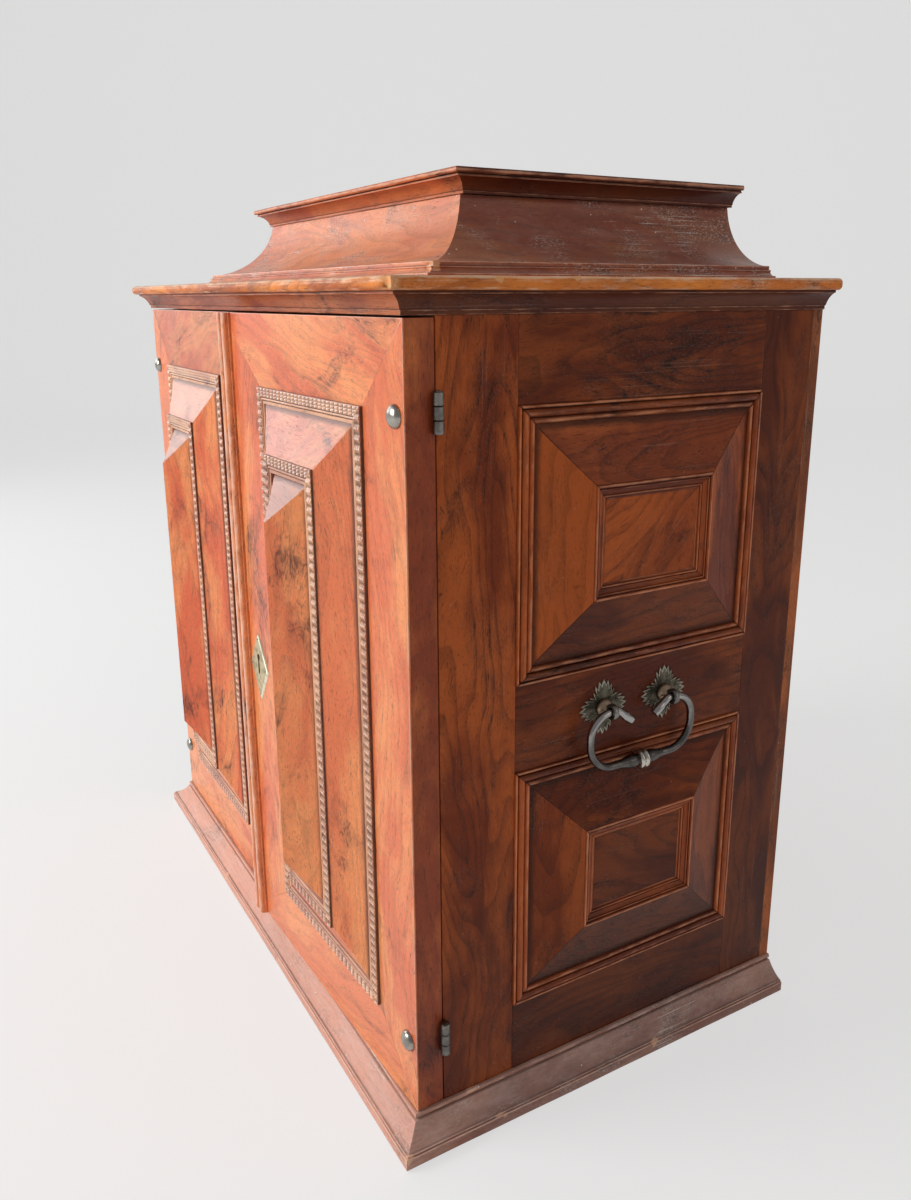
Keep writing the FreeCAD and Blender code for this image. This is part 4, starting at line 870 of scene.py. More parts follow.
# Bead, quirk, hollow, small bead and fillet, stepping down to the centre panel
SIDE_INNER_OUTLINE = drawn((55, 6), (55, 12.5, -0.7), (57.5, 12.8, 0.9, 0.9), (57.6, 11.7, -1.0),
                           (58.2, 11.7, -0.9), (58.3, 12.4, 0.5), (59.2, 12.3, 0.7), (59.3, 11.6, -0.9),
                           (62.6, 9.9, -0.7, 0.0), (62.7, 9.3, -1.0), (63.0, 9.6, 0.0),
                           (64.7, 9.4, 0.5, 0.9, 4), (64.8, 8.8, -1.0), (65.2, 8.9, 0.5), (66.3, 8.7, 0.7),
                           (66.4, 6, -1.0))
DOOR_SLOPE_OUTLINE = drawn((12.6, -3), (12.6, 1.0, -1.0), (45.6, 16.1, -0.5, 0.0, 6), (45.9, 16.2, 0.3),
                           (45.9, -3))
ASTRAGAL_OUTLINE = drawn((0, 0), (0, 2.0, 0.6), (0.9, 2.0, -0.8), (9.5, 2.0, 4.2, 0.8, 9), (10.0, 1.7, -1.0),
                         (10.5, 2.0, -0.8), (19.1, 2.0, 4.2, 0.8, 9), (20.0, 2.0, 0.6), (20.0, 0))
DRAWER_BEAD_OUTLINE = drawn((0, -1), (0, 0.6, 0.5), (2.4, 0.6, 0.5, 0.8), (2.6, 0.1, -1.0), (3.4, 0.1, -0.8),
                            (3.4, -1, -0.8))


def ripple_outline(across, up, high):
    """From the outside in: three rippled beads, a plain bead and a fillet; high scales their height"""
    wave = sizes().ripple_height / MM
    # Painted shadow: the outer wall is darkened all round by its low wear
    outline = Outline(across, up - 4, -0.8).line(across, up + 1.6 * high, -0.7)
    for start, stop, crown in ((0.1, 2.3, 2.5), (2.5, 4.7, 2.6), (4.9, 7.0, 2.5)):
        outline.line(across + start, up + crown * high, 0.0, wave * 0.7)
        outline.arc(across + stop, up + crown * high, 0.5 * high, 0.15, 4, wave)
        outline.line(across + stop + 0.08, up + (crown - 0.6) * high, -0.6, wave * 0.4)
    return (outline.line(across + 7.2, up + 1.3 * high, -1.0).line(across + 7.6, up + 1.3 * high, -1.0)
            .line(across + 7.7, up + 2.3 * high, 0.1).arc(across + 9.2, up + 2.2 * high, 0.35 * high, 0.5, 3)
            .line(across + 9.35, up + 0.8 * high, -1.0)
            .line(across + 9.85, up + 0.8 * high, -1.0).line(across + 9.95, up + 2.1 * high, 0.35)
            .line(across + 12.4, up + 1.8 * high, 0.2).line(across + 12.6, up - 3, -1.0))


def field_outline(half):
    """The hipped field from its eaves to the ridge"""
    return drawn((58.5, 12), (58.5, 14.5, -1.0), (half - 0.05, 36.6, -0.25, 0.0, 5), (half - 0.02, 12))


# Operators


class MakePlinth(bpy.types.Operator):
    """Base frame and its moulding"""
    bl_idname = "cabinet.plinth"
    bl_label = "Plinth"

    def execute(self, context):
        shape = Shape()
        # Painted light: the front run is toned pale and pink as a painted reflection, the side runs darker as
        # painted shade
        three_sided_run(shape, PLINTH_OUTLINE, HALF_W, FRONT_Y, 0, (0.75, -0.38, -0.38), 6 * MM)
        shape.settle(0.25 * MM, 60 * MM)
        for point in self.knocks():
            shape.chip(point, 5 * MM, 0.7 * MM)
        shape.build("plinth_moulding", "walnut_dusty", "case", "walnut_moulding")
        return {"FINISHED"}

    def knocks(self):
        """Places where the plinth has lost a splinter"""
        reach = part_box("plinth_moulding")[1].x
        top, ledge = BASE_HI.z, BASE_HI.z / 3
        return [Vector((HALF_W + 2 * MM, FRONT_Y + 45 * MM, top)), Vector((reach, FRONT_Y + 62 * MM, ledge)),
                Vector((reach, FRONT_Y - 17 * MM, ledge)), Vector((reach, FRONT_Y + 210 * MM, ledge)),
                Vector((-reach / 3, FRONT_Y - 18 * MM, ledge))]


class MakeSides(bpy.types.Operator):
    """Side frames, their mouldings and raised panels"""
    bl_idname = "cabinet.sides"
    bl_label = "Sides"

    def execute(self, context):
        self.make_frames()
        self.make_panels()
        return {"FINISHED"}

    def panel_levels(self):
        height = (PANELS_HI.z - PANELS_LO.z - sizes().side_middle_rail) / 2
        return height, (PANELS_LO.z, PANELS_HI.z - height)

    def make_frames(self):
        thick = SIDE_HI.x - SIDE_LO.x
        height, (low, high) = self.panel_levels()
        total = SIDE_HI.z - SIDE_LO.z
        y0, y1, y2, y3 = SIDE_LO.y, PANELS_LO.y, PANELS_HI.y, SIDE_HI.y
        rails = [(SIDE_LO.z, low), (low + height, high), (high + height, SIDE_HI.z)]
        for side, mirror in (("right", False), ("left", True)):
            shape = Shape()
            for near, far, tone in ((y0, y1, 0.05), (y2, y3, -0.50)):
                stile = plate(rectangle(far - near, total), thick, 0.35)
                shape.add(stile, side_plane(HALF_W, near, SIDE_LO.z), tone, math.pi / 2, mirror)
            for (z0, z1), tone in zip(rails, (-0.50, -0.50, -0.42)):
                rail = plate(rectangle(y2 - y1, z1 - z0), thick, 0.3)
                shape.add(rail, side_plane(HALF_W, y1, z0), tone, mirror=mirror)
            name = "side_frame_" + side
            shape.build(name, "walnut_side", "case", "walnut_case")

    def make_panels(self):
        height, levels = self.panel_levels()
        width = PANELS_HI.y - PANELS_LO.y
        outer, slopes, inner, centres = Shape(), Shape(), Shape(), Shape()
        inset = 66.4 * MM  # from the outer moulding's edge to the centre panel
        centre = plate(rectangle(width - 2 * inset, height - 2 * inset), 3 * MM, 0.0)
        # For the lower and the upper panel: tones of the slopes, tone and turn of the centre. The slope tones
        # paint light and shade: slopes that face the front are lighter, those that face down darker
        looks = (((-0.60, -0.20, -0.35, 0.15), -0.50, -0.2), ((-0.60, 0.0, 0.14, 0.90), 0.38, 0.85))
        for mirror in (False, True):
            for level, (tones, tone, turn) in zip(levels, looks):
                where = side_plane(HALF_W, PANELS_LO.y, level)
                # Painted light and shade on the mouldings: their upright lengths are toned lighter and their
                # level lengths darker
                for shape, outline, shades, mitre in (
                        (outer, SIDE_OUTER_OUTLINE, (-0.35, 0.25, -0.45, 0.7), -0.7),
                        (slopes, SIDE_SLOPE_OUTLINE, tones, -0.75),
                        (inner, SIDE_INNER_OUTLINE, (-0.35, 0.45, -0.3, 0.3), -0.6)):
                    rectangle_frame(shape, outline, where, width, height, shades, mirror, mitre)
                spot = side_plane(CENTRE_HI.x, PANELS_LO.y + inset, level + inset)
                centres.add(centre, spot, tone, turn, mirror)
        outer.settle(0.12 * MM, 40 * MM)
        for shape, name, finish, slot in (
                (outer, "side_outer_mouldings", "walnut_dark_moulding", "walnut_moulding"),
                (slopes, "side_panels", "walnut_side", "walnut_case"),
                (inner, "side_inner_mouldings", "walnut_dark_moulding", "walnut_moulding"),
                (centres, "side_centre_panels", "walnut_side", "walnut_case")):
            shape.build(name, finish, "case", slot)


class MakeTop(bpy.types.Operator):
    """Cornice, slab, coved caddy and lid"""
    bl_idname = "cabinet.top"
    bl_label = "Top"

    def execute(self, context):
        cornice = Shape()
        # Painted shade: the side runs are toned darker than the front
        three_sided_run(cornice, CORNICE_OUTLINE, HALF_W, FRONT_Y, TOP_LO.z, (-0.25, -0.82, -0.82))
        cornice.settle(0.12 * MM, 50 * MM)
        cornice.build("cornice_moulding", "walnut_moulding", "case", "walnut_moulding")
        self.make_slab()
        base = Shape()
        spread = 10.5 * MM
        foot_half, foot_front = CADDY_BASE_HI.x - spread, CADDY_BASE_LO.y + spread
        # Painted shade: the side runs are toned darker than the front
        three_sided_run(base, CADDY_BASE_OUTLINE, foot_half, foot_front, SLAB_HI.z, (0.2, -0.45, -0.45),
                        4 * MM)
        corner = Vector((CADDY_BASE_HI.x - 8 * MM, CADDY_BASE_LO.y + 8 * MM, SLAB_HI.z + 8 * MM))
        base.chip(corner, 7 * MM, 1.6 * MM)
        base.build("caddy_base_moulding", "walnut_caddy", "case", "walnut_moulding")
        coves = Shape()
        sweep = 47.5 * MM
        cove_half, cove_front = CADDY_HI.x - sweep, CADDY_LO.y + sweep
        # Painted light: the front run is toned lighter for sheen and the side runs darker as shade
        three_sided_run(coves, COVE_OUTLINE, cove_half, cove_front, SLAB_HI.z, (0.34, -0.54, -0.54), 10 * MM)
        coves.settle(0.3 * MM, 90 * MM)
        coves.build("caddy_coves", "walnut_caddy", "case", "walnut_door")
        self.make_lid()
        return {"FINISHED"}

    def make_slab(self):
        slab = Shape()
        # Painted light: the side runs are toned lighter than the front
        three_sided_run(slab, SLAB_OUTLINE, HALF_W, FRONT_Y, SLAB_LO.z, (-0.15, 0.40, 0.40), 2.5 * MM)
        reach = SLAB_HI.x
        middle = (SLAB_LO.z + SLAB_HI.z) / 2
        slab.chip(Vector((reach + 1 * MM, SLAB_LO.y - 1 * MM, middle)), 10 * MM, 5 * MM)
        slab.chip(Vector((reach - 8 * MM, SLAB_LO.y, SLAB_HI.z)), 5 * MM, 1.6 * MM, 3.0)
        for along, size in ((74, 5), (131, 4), (240, 3.5)):
            slab.chip(Vector((reach, SLAB_LO.y + along * MM, SLAB_HI.z)), size * MM, 0.8 * MM, along)
        slab.settle(0.2 * MM, 35 * MM)
        strip, thick = 78 * MM, 8.4 * MM
        inner, depth = HALF_W - strip, REAR_Y - FRONT_Y - strip
        corners = rectangle(2 * inner, depth)
        slab.add(plate(corners, thick, 0.0), place((-inner, REAR_Y - depth, SLAB_HI.z), *FLAT))
        slab.build("cornice_slab", "walnut_slab", "case", "walnut_case")

    def make_lid(self):
        board = Shape()
        corners = rectangle(LID_HI.x - LID_LO.x, LID_HI.y - LID_LO.y)
        where = place((LID_LO.x, LID_LO.y, LID_HI.z), *FLAT)
        board.add(plate(corners, LID_HI.z - LID_LO.z, 0.5), where)
        board.build("lid_board", "walnut_caddy", "lid", "walnut_case")
        edge = Shape()
        # Painted shade: the side runs are toned darker than the front
        three_sided_run(edge, LID_OUTLINE, LID_HI.x, LID_LO.y, LID_LO.z, (-0.1, -0.82, -0.82), 8 * MM)
        edge.settle(0.15 * MM, 60 * MM)
        edge.build("lid_moulding", "walnut_moulding", "lid", "walnut_moulding")


class MakeDoors(bpy.types.Operator):
    """Doors with mitred frames, ripple mouldings and hipped fields"""
    bl_idname = "cabinet.doors"
    bl_label = "Doors"

    def execute(self, context):
        self.make_door("left", True, None)
        self.make_door("right", False, SWUNG)
        self.make_astragal()
        return {"FINISHED"}

    def make_door(self, side, mirror, moved):
        """A door laid out as a right-hand one, mirrored for the left"""
        body = side + "_door"
        panel_x0, panel_x1 = -PANEL_HI.x, -PANEL_LO.x
        panel_z0, panel_z1 = PANEL_LO.z, PANEL_HI.z
        thick = DOOR_HI.y - DOOR_LO.y
        veneer = sizes().veneer
        edge = -DOOR_HI.x if mirror else MEETING_X
        low, high = DOOR_LO.z, DOOR_HI.z
        outer = [(edge, low), (HALF_W, low), (HALF_W, high), (edge, high)]
        opening = [(panel_x0, panel_z0), (panel_x1, panel_z0), (panel_x1, panel_z1), (panel_x0, panel_z1)]
        turns = (0.12, math.pi / 2 + 0.10, -0.3, math.pi / 2 - 0.06)
        tones = (0.0, 0.30, -0.22, -0.04) if mirror else (0.40, 0.16, 0.10, 0.06)
        stiles = Shape()
        for index, (tone, turn) in enumerate(zip(tones, turns)):
            after = (index + 1) % 4
            corners = [outer[index], outer[after], opening[after], opening[index]]
            face = plate(corners, veneer, (0.85, 0.85, 0.2, 0.2), margin=veneer)
            stiles.add(face, front_plane(0, DOOR_LO.y, 0), tone, turn, mirror)
            core = plate(inset_corners(corners, 0.06 * MM), thick - veneer, 0.0)
            stiles.add(core, front_plane(0, DOOR_LO.y + veneer, 0), 0.0, turn, mirror, finish=1)
        stiles.build(body + "_frame", ("walnut_door", "walnut_door_edge"), body, "walnut_door", moved)
        width, height = panel_x1 - panel_x0, panel_z1 - panel_z0
        where = front_plane(panel_x0, DOOR_LO.y, panel_z0)
        # Painted light and shade: the facets are toned one by one, the top ones darker and the outer side
        # ones lighter
        slopes = (0.02, 0.12, -0.34, 0.0) if mirror else (0.05, 0.25, -0.14, 0.0)
        fields = (0.0, 0.16, -0.50, 0.0) if mirror else (0.0, 0.28, -0.50, 0.05)
        ripples = ("walnut_ripple", "walnut_moulding", (0.1,) * 4, 0.6)
        for label, outline, (finish, slot, tones, mitre) in (
                ("outer_ripple", ripple_outline(0, 0, 1.0), ripples),
                ("panel", DOOR_SLOPE_OUTLINE, ("walnut_door", "walnut_door", slopes, 0.8)),
                ("inner_ripple", ripple_outline(45.9, 16.2, 0.75), ripples),
                ("field", field_outline(width / 2 / MM), ("walnut_door", "walnut_door", fields, 0.8))):
            shape = Shape()
            rectangle_frame(shape, outline, where, width, height, tones, mirror, mitre)
            shape.build(body + "_" + label, finish, body, slot, moved)

    def make_astragal(self):
        shape = Shape()
        length = DOOR_HI.z - DOOR_LO.z
        where = place((MEETING_X, DOOR_LO.y, DOOR_HI.z), (0, 0, -1), (1, 0, 0))
        shape.add(straight_length(ASTRAGAL_OUTLINE, length, spacing=9 * MM, mitre_wear=0.5), where, -0.08)
        shape.settle(0.2 * MM, 45 * MM)
        shape.build("astragal", "walnut_door", "right_door", "walnut_moulding", SWUNG)


class MakeCarcase(bpy.types.Operator):
    """Boards of the case that the doors, drawers and lid hide: base, floor, top, back, linings and shelves"""
    bl_idname = "cabinet.carcase"
    bl_label = "Carcase"

    def execute(self, context):
        floor_lo, floor_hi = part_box("case_bottom")
        lining_lo, lining_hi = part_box("inner_linings")
        divider_lo, divider_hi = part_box("drawer_dividers")
        middle_lo, middle_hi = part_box("centre_partition")
        self.boards("case_back", "back_board", "walnut_case", self.back_planks())
        self.boards("case_bottom", "drawer_board", "carcase_softwood", [(floor_lo, floor_hi)])
        self.boards("case_top", "walnut_edge", "walnut_case", [(TOP_LO, TOP_HI)])
        self.boards("centre_partition", "walnut_edge", "walnut_case", [(middle_lo, middle_hi)])
        inner = HALF_W - (SIDE_HI.x - SIDE_LO.x)
        lined = inner - 14 * MM
        lining = [((lined, lining_lo.y, floor_hi.z), (inner, lining_hi.y, lining_hi.z))]
        self.boards("inner_linings", "walnut_edge", "walnut_case", lining + [mirrored_box(*lining[0])])
        shelf, shelves = 8 * MM, []
        for top in self.shelf_tops():
            front, back = (divider_lo.y, top - shelf), (divider_hi.y, top)
            shelves += [((middle_hi.x, *front), (lined, *back)), ((-lined, *front), (middle_lo.x, *back))]
        self.boards("drawer_dividers", "walnut_edge", "walnut_case", shelves)
        rail = 60 * MM  # breadth of the base frame's members
        base = [((-HALF_W, FRONT_Y, 0), (HALF_W, FRONT_Y + rail, BASE_HI.z)),
                ((-HALF_W, REAR_Y - rail, 0), (HALF_W, REAR_Y, BASE_HI.z))]
        side = ((HALF_W - rail, FRONT_Y + rail, 0), (HALF_W, REAR_Y - rail, BASE_HI.z))
        self.boards("base_frame", "walnut_edge", "walnut_case", base + [side, mirrored_box(*side)])
        self.line_caddy()
        return {"FINISHED"}

    def back_planks(self):
        """Three upright planks whose joints show on the back"""
        start, width = BACK_LO.x, (BACK_HI.x - BACK_LO.x) / 3
        return [((start + k * width, BACK_LO.y, BACK_LO.z), (start + (k + 1) * width, REAR_Y, BACK_HI.z))
                for k in range(3)]

    def shelf_tops(self):
        return [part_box("right_drawer_%d" % row)[0].z - 0.3 * MM for row in (2, 3, 4)]

    def boards(self, name, finish, slot, boxes):
        shape = Shape()
        for low, high in boxes:
            shape.add(*board(low, high))
        shape.build(name, finish, "case", slot)

    def line_caddy(self):
        low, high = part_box("caddy_well")
        floor, lining, back = 4 * MM, 6 * MM, 12 * MM
        top = high.z - 2 * MM
        side = ((high.x - lining, low.y + lining, low.z + floor), (high.x, high.y - back, top))
        boxes = [((low.x, high.y - back, low.z), (high.x, high.y, high.z + 0.7 * MM)),
                 (low, (high.x, high.y - back, low.z + floor)),
                 ((low.x, low.y, low.z + floor), (high.x, low.y + lining, top)), side, mirrored_box(*side)]
        self.boards("caddy_well", "walnut_edge", "walnut_case", boxes)


def mirrored_box(low, high):
    return (-high[0], low[1], low[2]), (-low[0], high[1], high[2])


class MakeDrawers(bpy.types.Operator):
    """Eight drawers with veneered fronts, thin carcase wood and turned brass knobs"""
    bl_idname = "cabinet.drawers"
    bl_label = "Drawers"

    def execute(self, context):
        for side in ("left", "right"):
            for row in range(1, 5):
                self.make_drawer("%s_drawer_%d" % (side, row))
        return {"FINISHED"}

    def make_drawer(self, name):
        low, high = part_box(name)
        knob, front, wall, floor = 13 * MM, 10 * MM, 7 * MM, 5 * MM
        face = low.y + knob
        inside, top = face + front, high.z - 6 * MM
        shape = Shape()
        width, height = high.x - low.x, high.z - low.z
        where = front_plane(low.x, face + 0.9 * MM, low.z)
        shape.add(plate(rectangle(width, height), front, 0.8, both=True), where, 0.1, 0.04)
        rectangle_frame(shape, DRAWER_BEAD_OUTLINE, where, width, height, (0.1,) * 4)
        for x in (low.x, high.x - wall):
            shape.add(*board((x, inside, low.z + floor), (x + wall, high.y, top)), finish=1)
        behind = board((low.x + wall, high.y - wall, low.z + floor), (high.x - wall, high.y, top))
        shape.add(*behind, finish=1)
        shape.add(*board((low.x, inside, low.z), (high.x, high.y, low.z + floor)), finish=1)
        stations = scaled([(0.4, 5.5), (1.2, 5.5), (1.7, 4.9), (2.0, 3.4), (4.6, 3.0), (6.6, 3.4), (7.2, 5.6),
                           (8.4, 7.6), (9.8, 8.0), (11.2, 7.5), (12.3, 5.8), (12.9, 3.2), (13.0, 1.2)])
        middle = Vector(((low.x + high.x) / 2, face, (low.z + high.z) / 2))
        shape.add(turned(stations), place(middle, *OUTWARD), finish=2)
        shape.build(name, ("walnut_drawer", "drawer_board", "brass"), name + "_body", "walnut_case")


class MakeHinges(bpy.types.Operator):
    """Iron hinges with outside barrels, the domed bolts that hold them, and the lid's hinges"""
    bl_idname = "cabinet.hinges"
    bl_label = "Hinges and bolts"

    barrel = 8.5 * MM
    barrel_r = 3.5 * MM
    gap = 0.2 * MM
    leaf = 26 * MM
    thick = 1.6 * MM
    parting = 0.4 * MM
    case_reach, door_reach, rivet_reach = 14 * MM, 34 * MM, 29 * MM
    bolt_inset = 11 * MM
    end_gap = 56 * MM
    lid_hinge_x = 120 * MM

    def execute(self, context):
        case = Shape()
        pins = Shape()
        for side, mirror, moved in (("right", False, SWUNG), ("left", True, None)):
            door, bolts = Shape(), Shape()
            for level in (DOOR_LO.z + self.end_gap, DOOR_HI.z - self.end_gap):
                self.make_hinge(case, door, pins, level, mirror)
                self.make_bolt(bolts, level - 2 * MM, mirror)
            name = side + "_door_hinge_leaves"
            door.build(name, "hinge_iron", side + "_door", "iron", moved)
            name = side + "_door_rivets"
            bolts.build(name, "bright_iron", side + "_door", "iron", moved, 50)
        lid = Shape()
        for x in (-self.lid_hinge_x, self.lid_hinge_x):
            self.make_lid_hinge(case, lid, pins, x)
        case.build("case_hinge_leaves", "hinge_iron", "case", "iron")
        pins.build("hinge_pins", "rubbed_iron", "case", "iron")
        lid.build("lid_hinge_leaves", "hinge_iron", "lid", "iron")
        return {"FINISHED"}

    def knuckle(self, radius, length, bent=0.03):
        """One length of a hammered barrel with softened ends"""
        stations = [(0, radius - 0.6 * MM), (0.15 * MM, radius - 0.3 * MM), (0.5 * MM, radius)]
        for share in (0.3, 0.5, 0.7):
            stations.append((length * share, radius * (1 + 0.012 * math.sin(9 * share))))
        stations += [(length - along, reach) for along, reach in reversed(stations[:3])]
        return turned(stations, 28, 0.4, bent)

    def make_hinge(self, case, door, pins, level, mirror):
        axis_x, axis_y = RIGHT_HINGE.x, RIGHT_HINGE.y
        parting = self.parting
        start = level - (3 * self.barrel + 2 * self.gap) / 2
        steps = [start + k * (self.barrel + self.gap) for k in range(3)]
        for number, z in enumerate(steps):
            target = door if number == 1 else case
            where = place((axis_x, axis_y, z), *UPRIGHT)
            target.add(self.knuckle(self.barrel_r, self.barrel), where, mirror=mirror)
            near, far = axis_y + parting, axis_y + 2 * MM
            y0, y1 = (axis_y - 2 * MM, axis_y - parting) if number == 1 else (near, far)
            neck = board((HALF_W - 2 * MM, y0, z), (axis_x, y1, z + self.barrel))
            target.add(*neck, mirror=mirror)
        low, high = level - self.leaf / 2, level + self.leaf / 2
        y = axis_y + parting
        let_in = 0.05 * MM
        case.add(*board((HALF_W - self.case_reach, y - let_in, low), (HALF_W, y + self.thick, high)),
                 mirror=mirror)
        y = axis_y - parting
        door.add(*board((HALF_W - self.door_reach, y - self.thick, low), (HALF_W, y + let_in, high)),
                 mirror=mirror)
        x = HALF_W - self.rivet_reach
        for z in (low + 5 * MM, high - 5 * MM):
            head = turned(scaled([(0, 2.1), (0.2, 2.0), (0.4, 1.2), (0.45, 0.4)]), 16)
            door.add(head, place((x, y, z), *INWARD), mirror=mirror)
        top = steps[2] + self.barrel
        rise = top - start
        pin = [(0, 1.0 * MM), (0.3 * MM, 1.5 * MM), (rise, 1.5 * MM), (rise + 0.01 * MM, 2.3 * MM),
               (rise + 0.5 * MM, 2.4 * MM), (rise + 0.8 * MM, 1.6 * MM)]
        pins.add(turned(pin, 20), place((axis_x, axis_y, start), *UPRIGHT), mirror=mirror)

    def make_bolt(self, bolts, level, mirror):
        """A domed head, rubbed bright, on a shank through the door"""
        radius, rise = 7.7 * MM, 4.6 * MM
        steps, rim = 9, 0.25 * MM
        stations = [(0, radius * 0.97), (rim, radius)]
        stations += [(rim + (rise - rim) * math.sin(math.pi / 2 * k / steps),
                      radius * math.cos(math.pi / 2 * k / steps) ** 0.9) for k in range(1, steps)]
        stations.append((rise, 0.3 * MM))
        spot = (HALF_W - self.bolt_inset, FRONT_Y, level)
        bolts.add(turned(stations, 40), place(spot, *OUTWARD), mirror=mirror)
        depth = DOOR_HI.y - DOOR_LO.y
        shank = [(0, 2.5 * MM), (depth - 0.5 * MM, 2.5 * MM), (depth, 1.8 * MM)]
        bolts.add(turned(shank, 20), place(spot, *INWARD), mirror=mirror)

    def make_lid_hinge(self, case, lid, pins, x):
        knuckle, leaf, thick = 14 * MM, 12 * MM, 1.5 * MM
        y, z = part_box("lid_hinge_leaves")[1].y - 3 * MM, LID_LO.z
        below = CADDY_HI.z
        x0 = x - 1.5 * knuckle
        lid.add(*board((x0, REAR_Y, z), (x0 + 3 * knuckle, REAR_Y + thick, z + leaf)))
        case.add(*board((x0, REAR_Y, below - leaf), (x0 + 3 * knuckle, REAR_Y + thick, below)))
        for number in range(3):
            start = x0 + number * knuckle + (self.gap if number == 1 else 0)
            length = knuckle - (2 * self.gap if number == 1 else 0)
            target = lid if number == 1 else case
            target.add(self.knuckle(3 * MM, length), place((start, y, z), *FLAT))
            arm = (z, z + thick) if number == 1 else (below - thick, below)
            target.add(*board((start, REAR_Y, arm[0]), (start + length, y, arm[1])))
        pin = [(0, 1.3 * MM), (3 * knuckle, 1.3 * MM)]
        pins.add(turned(pin, 20), place((x0, y, z), *FLAT))


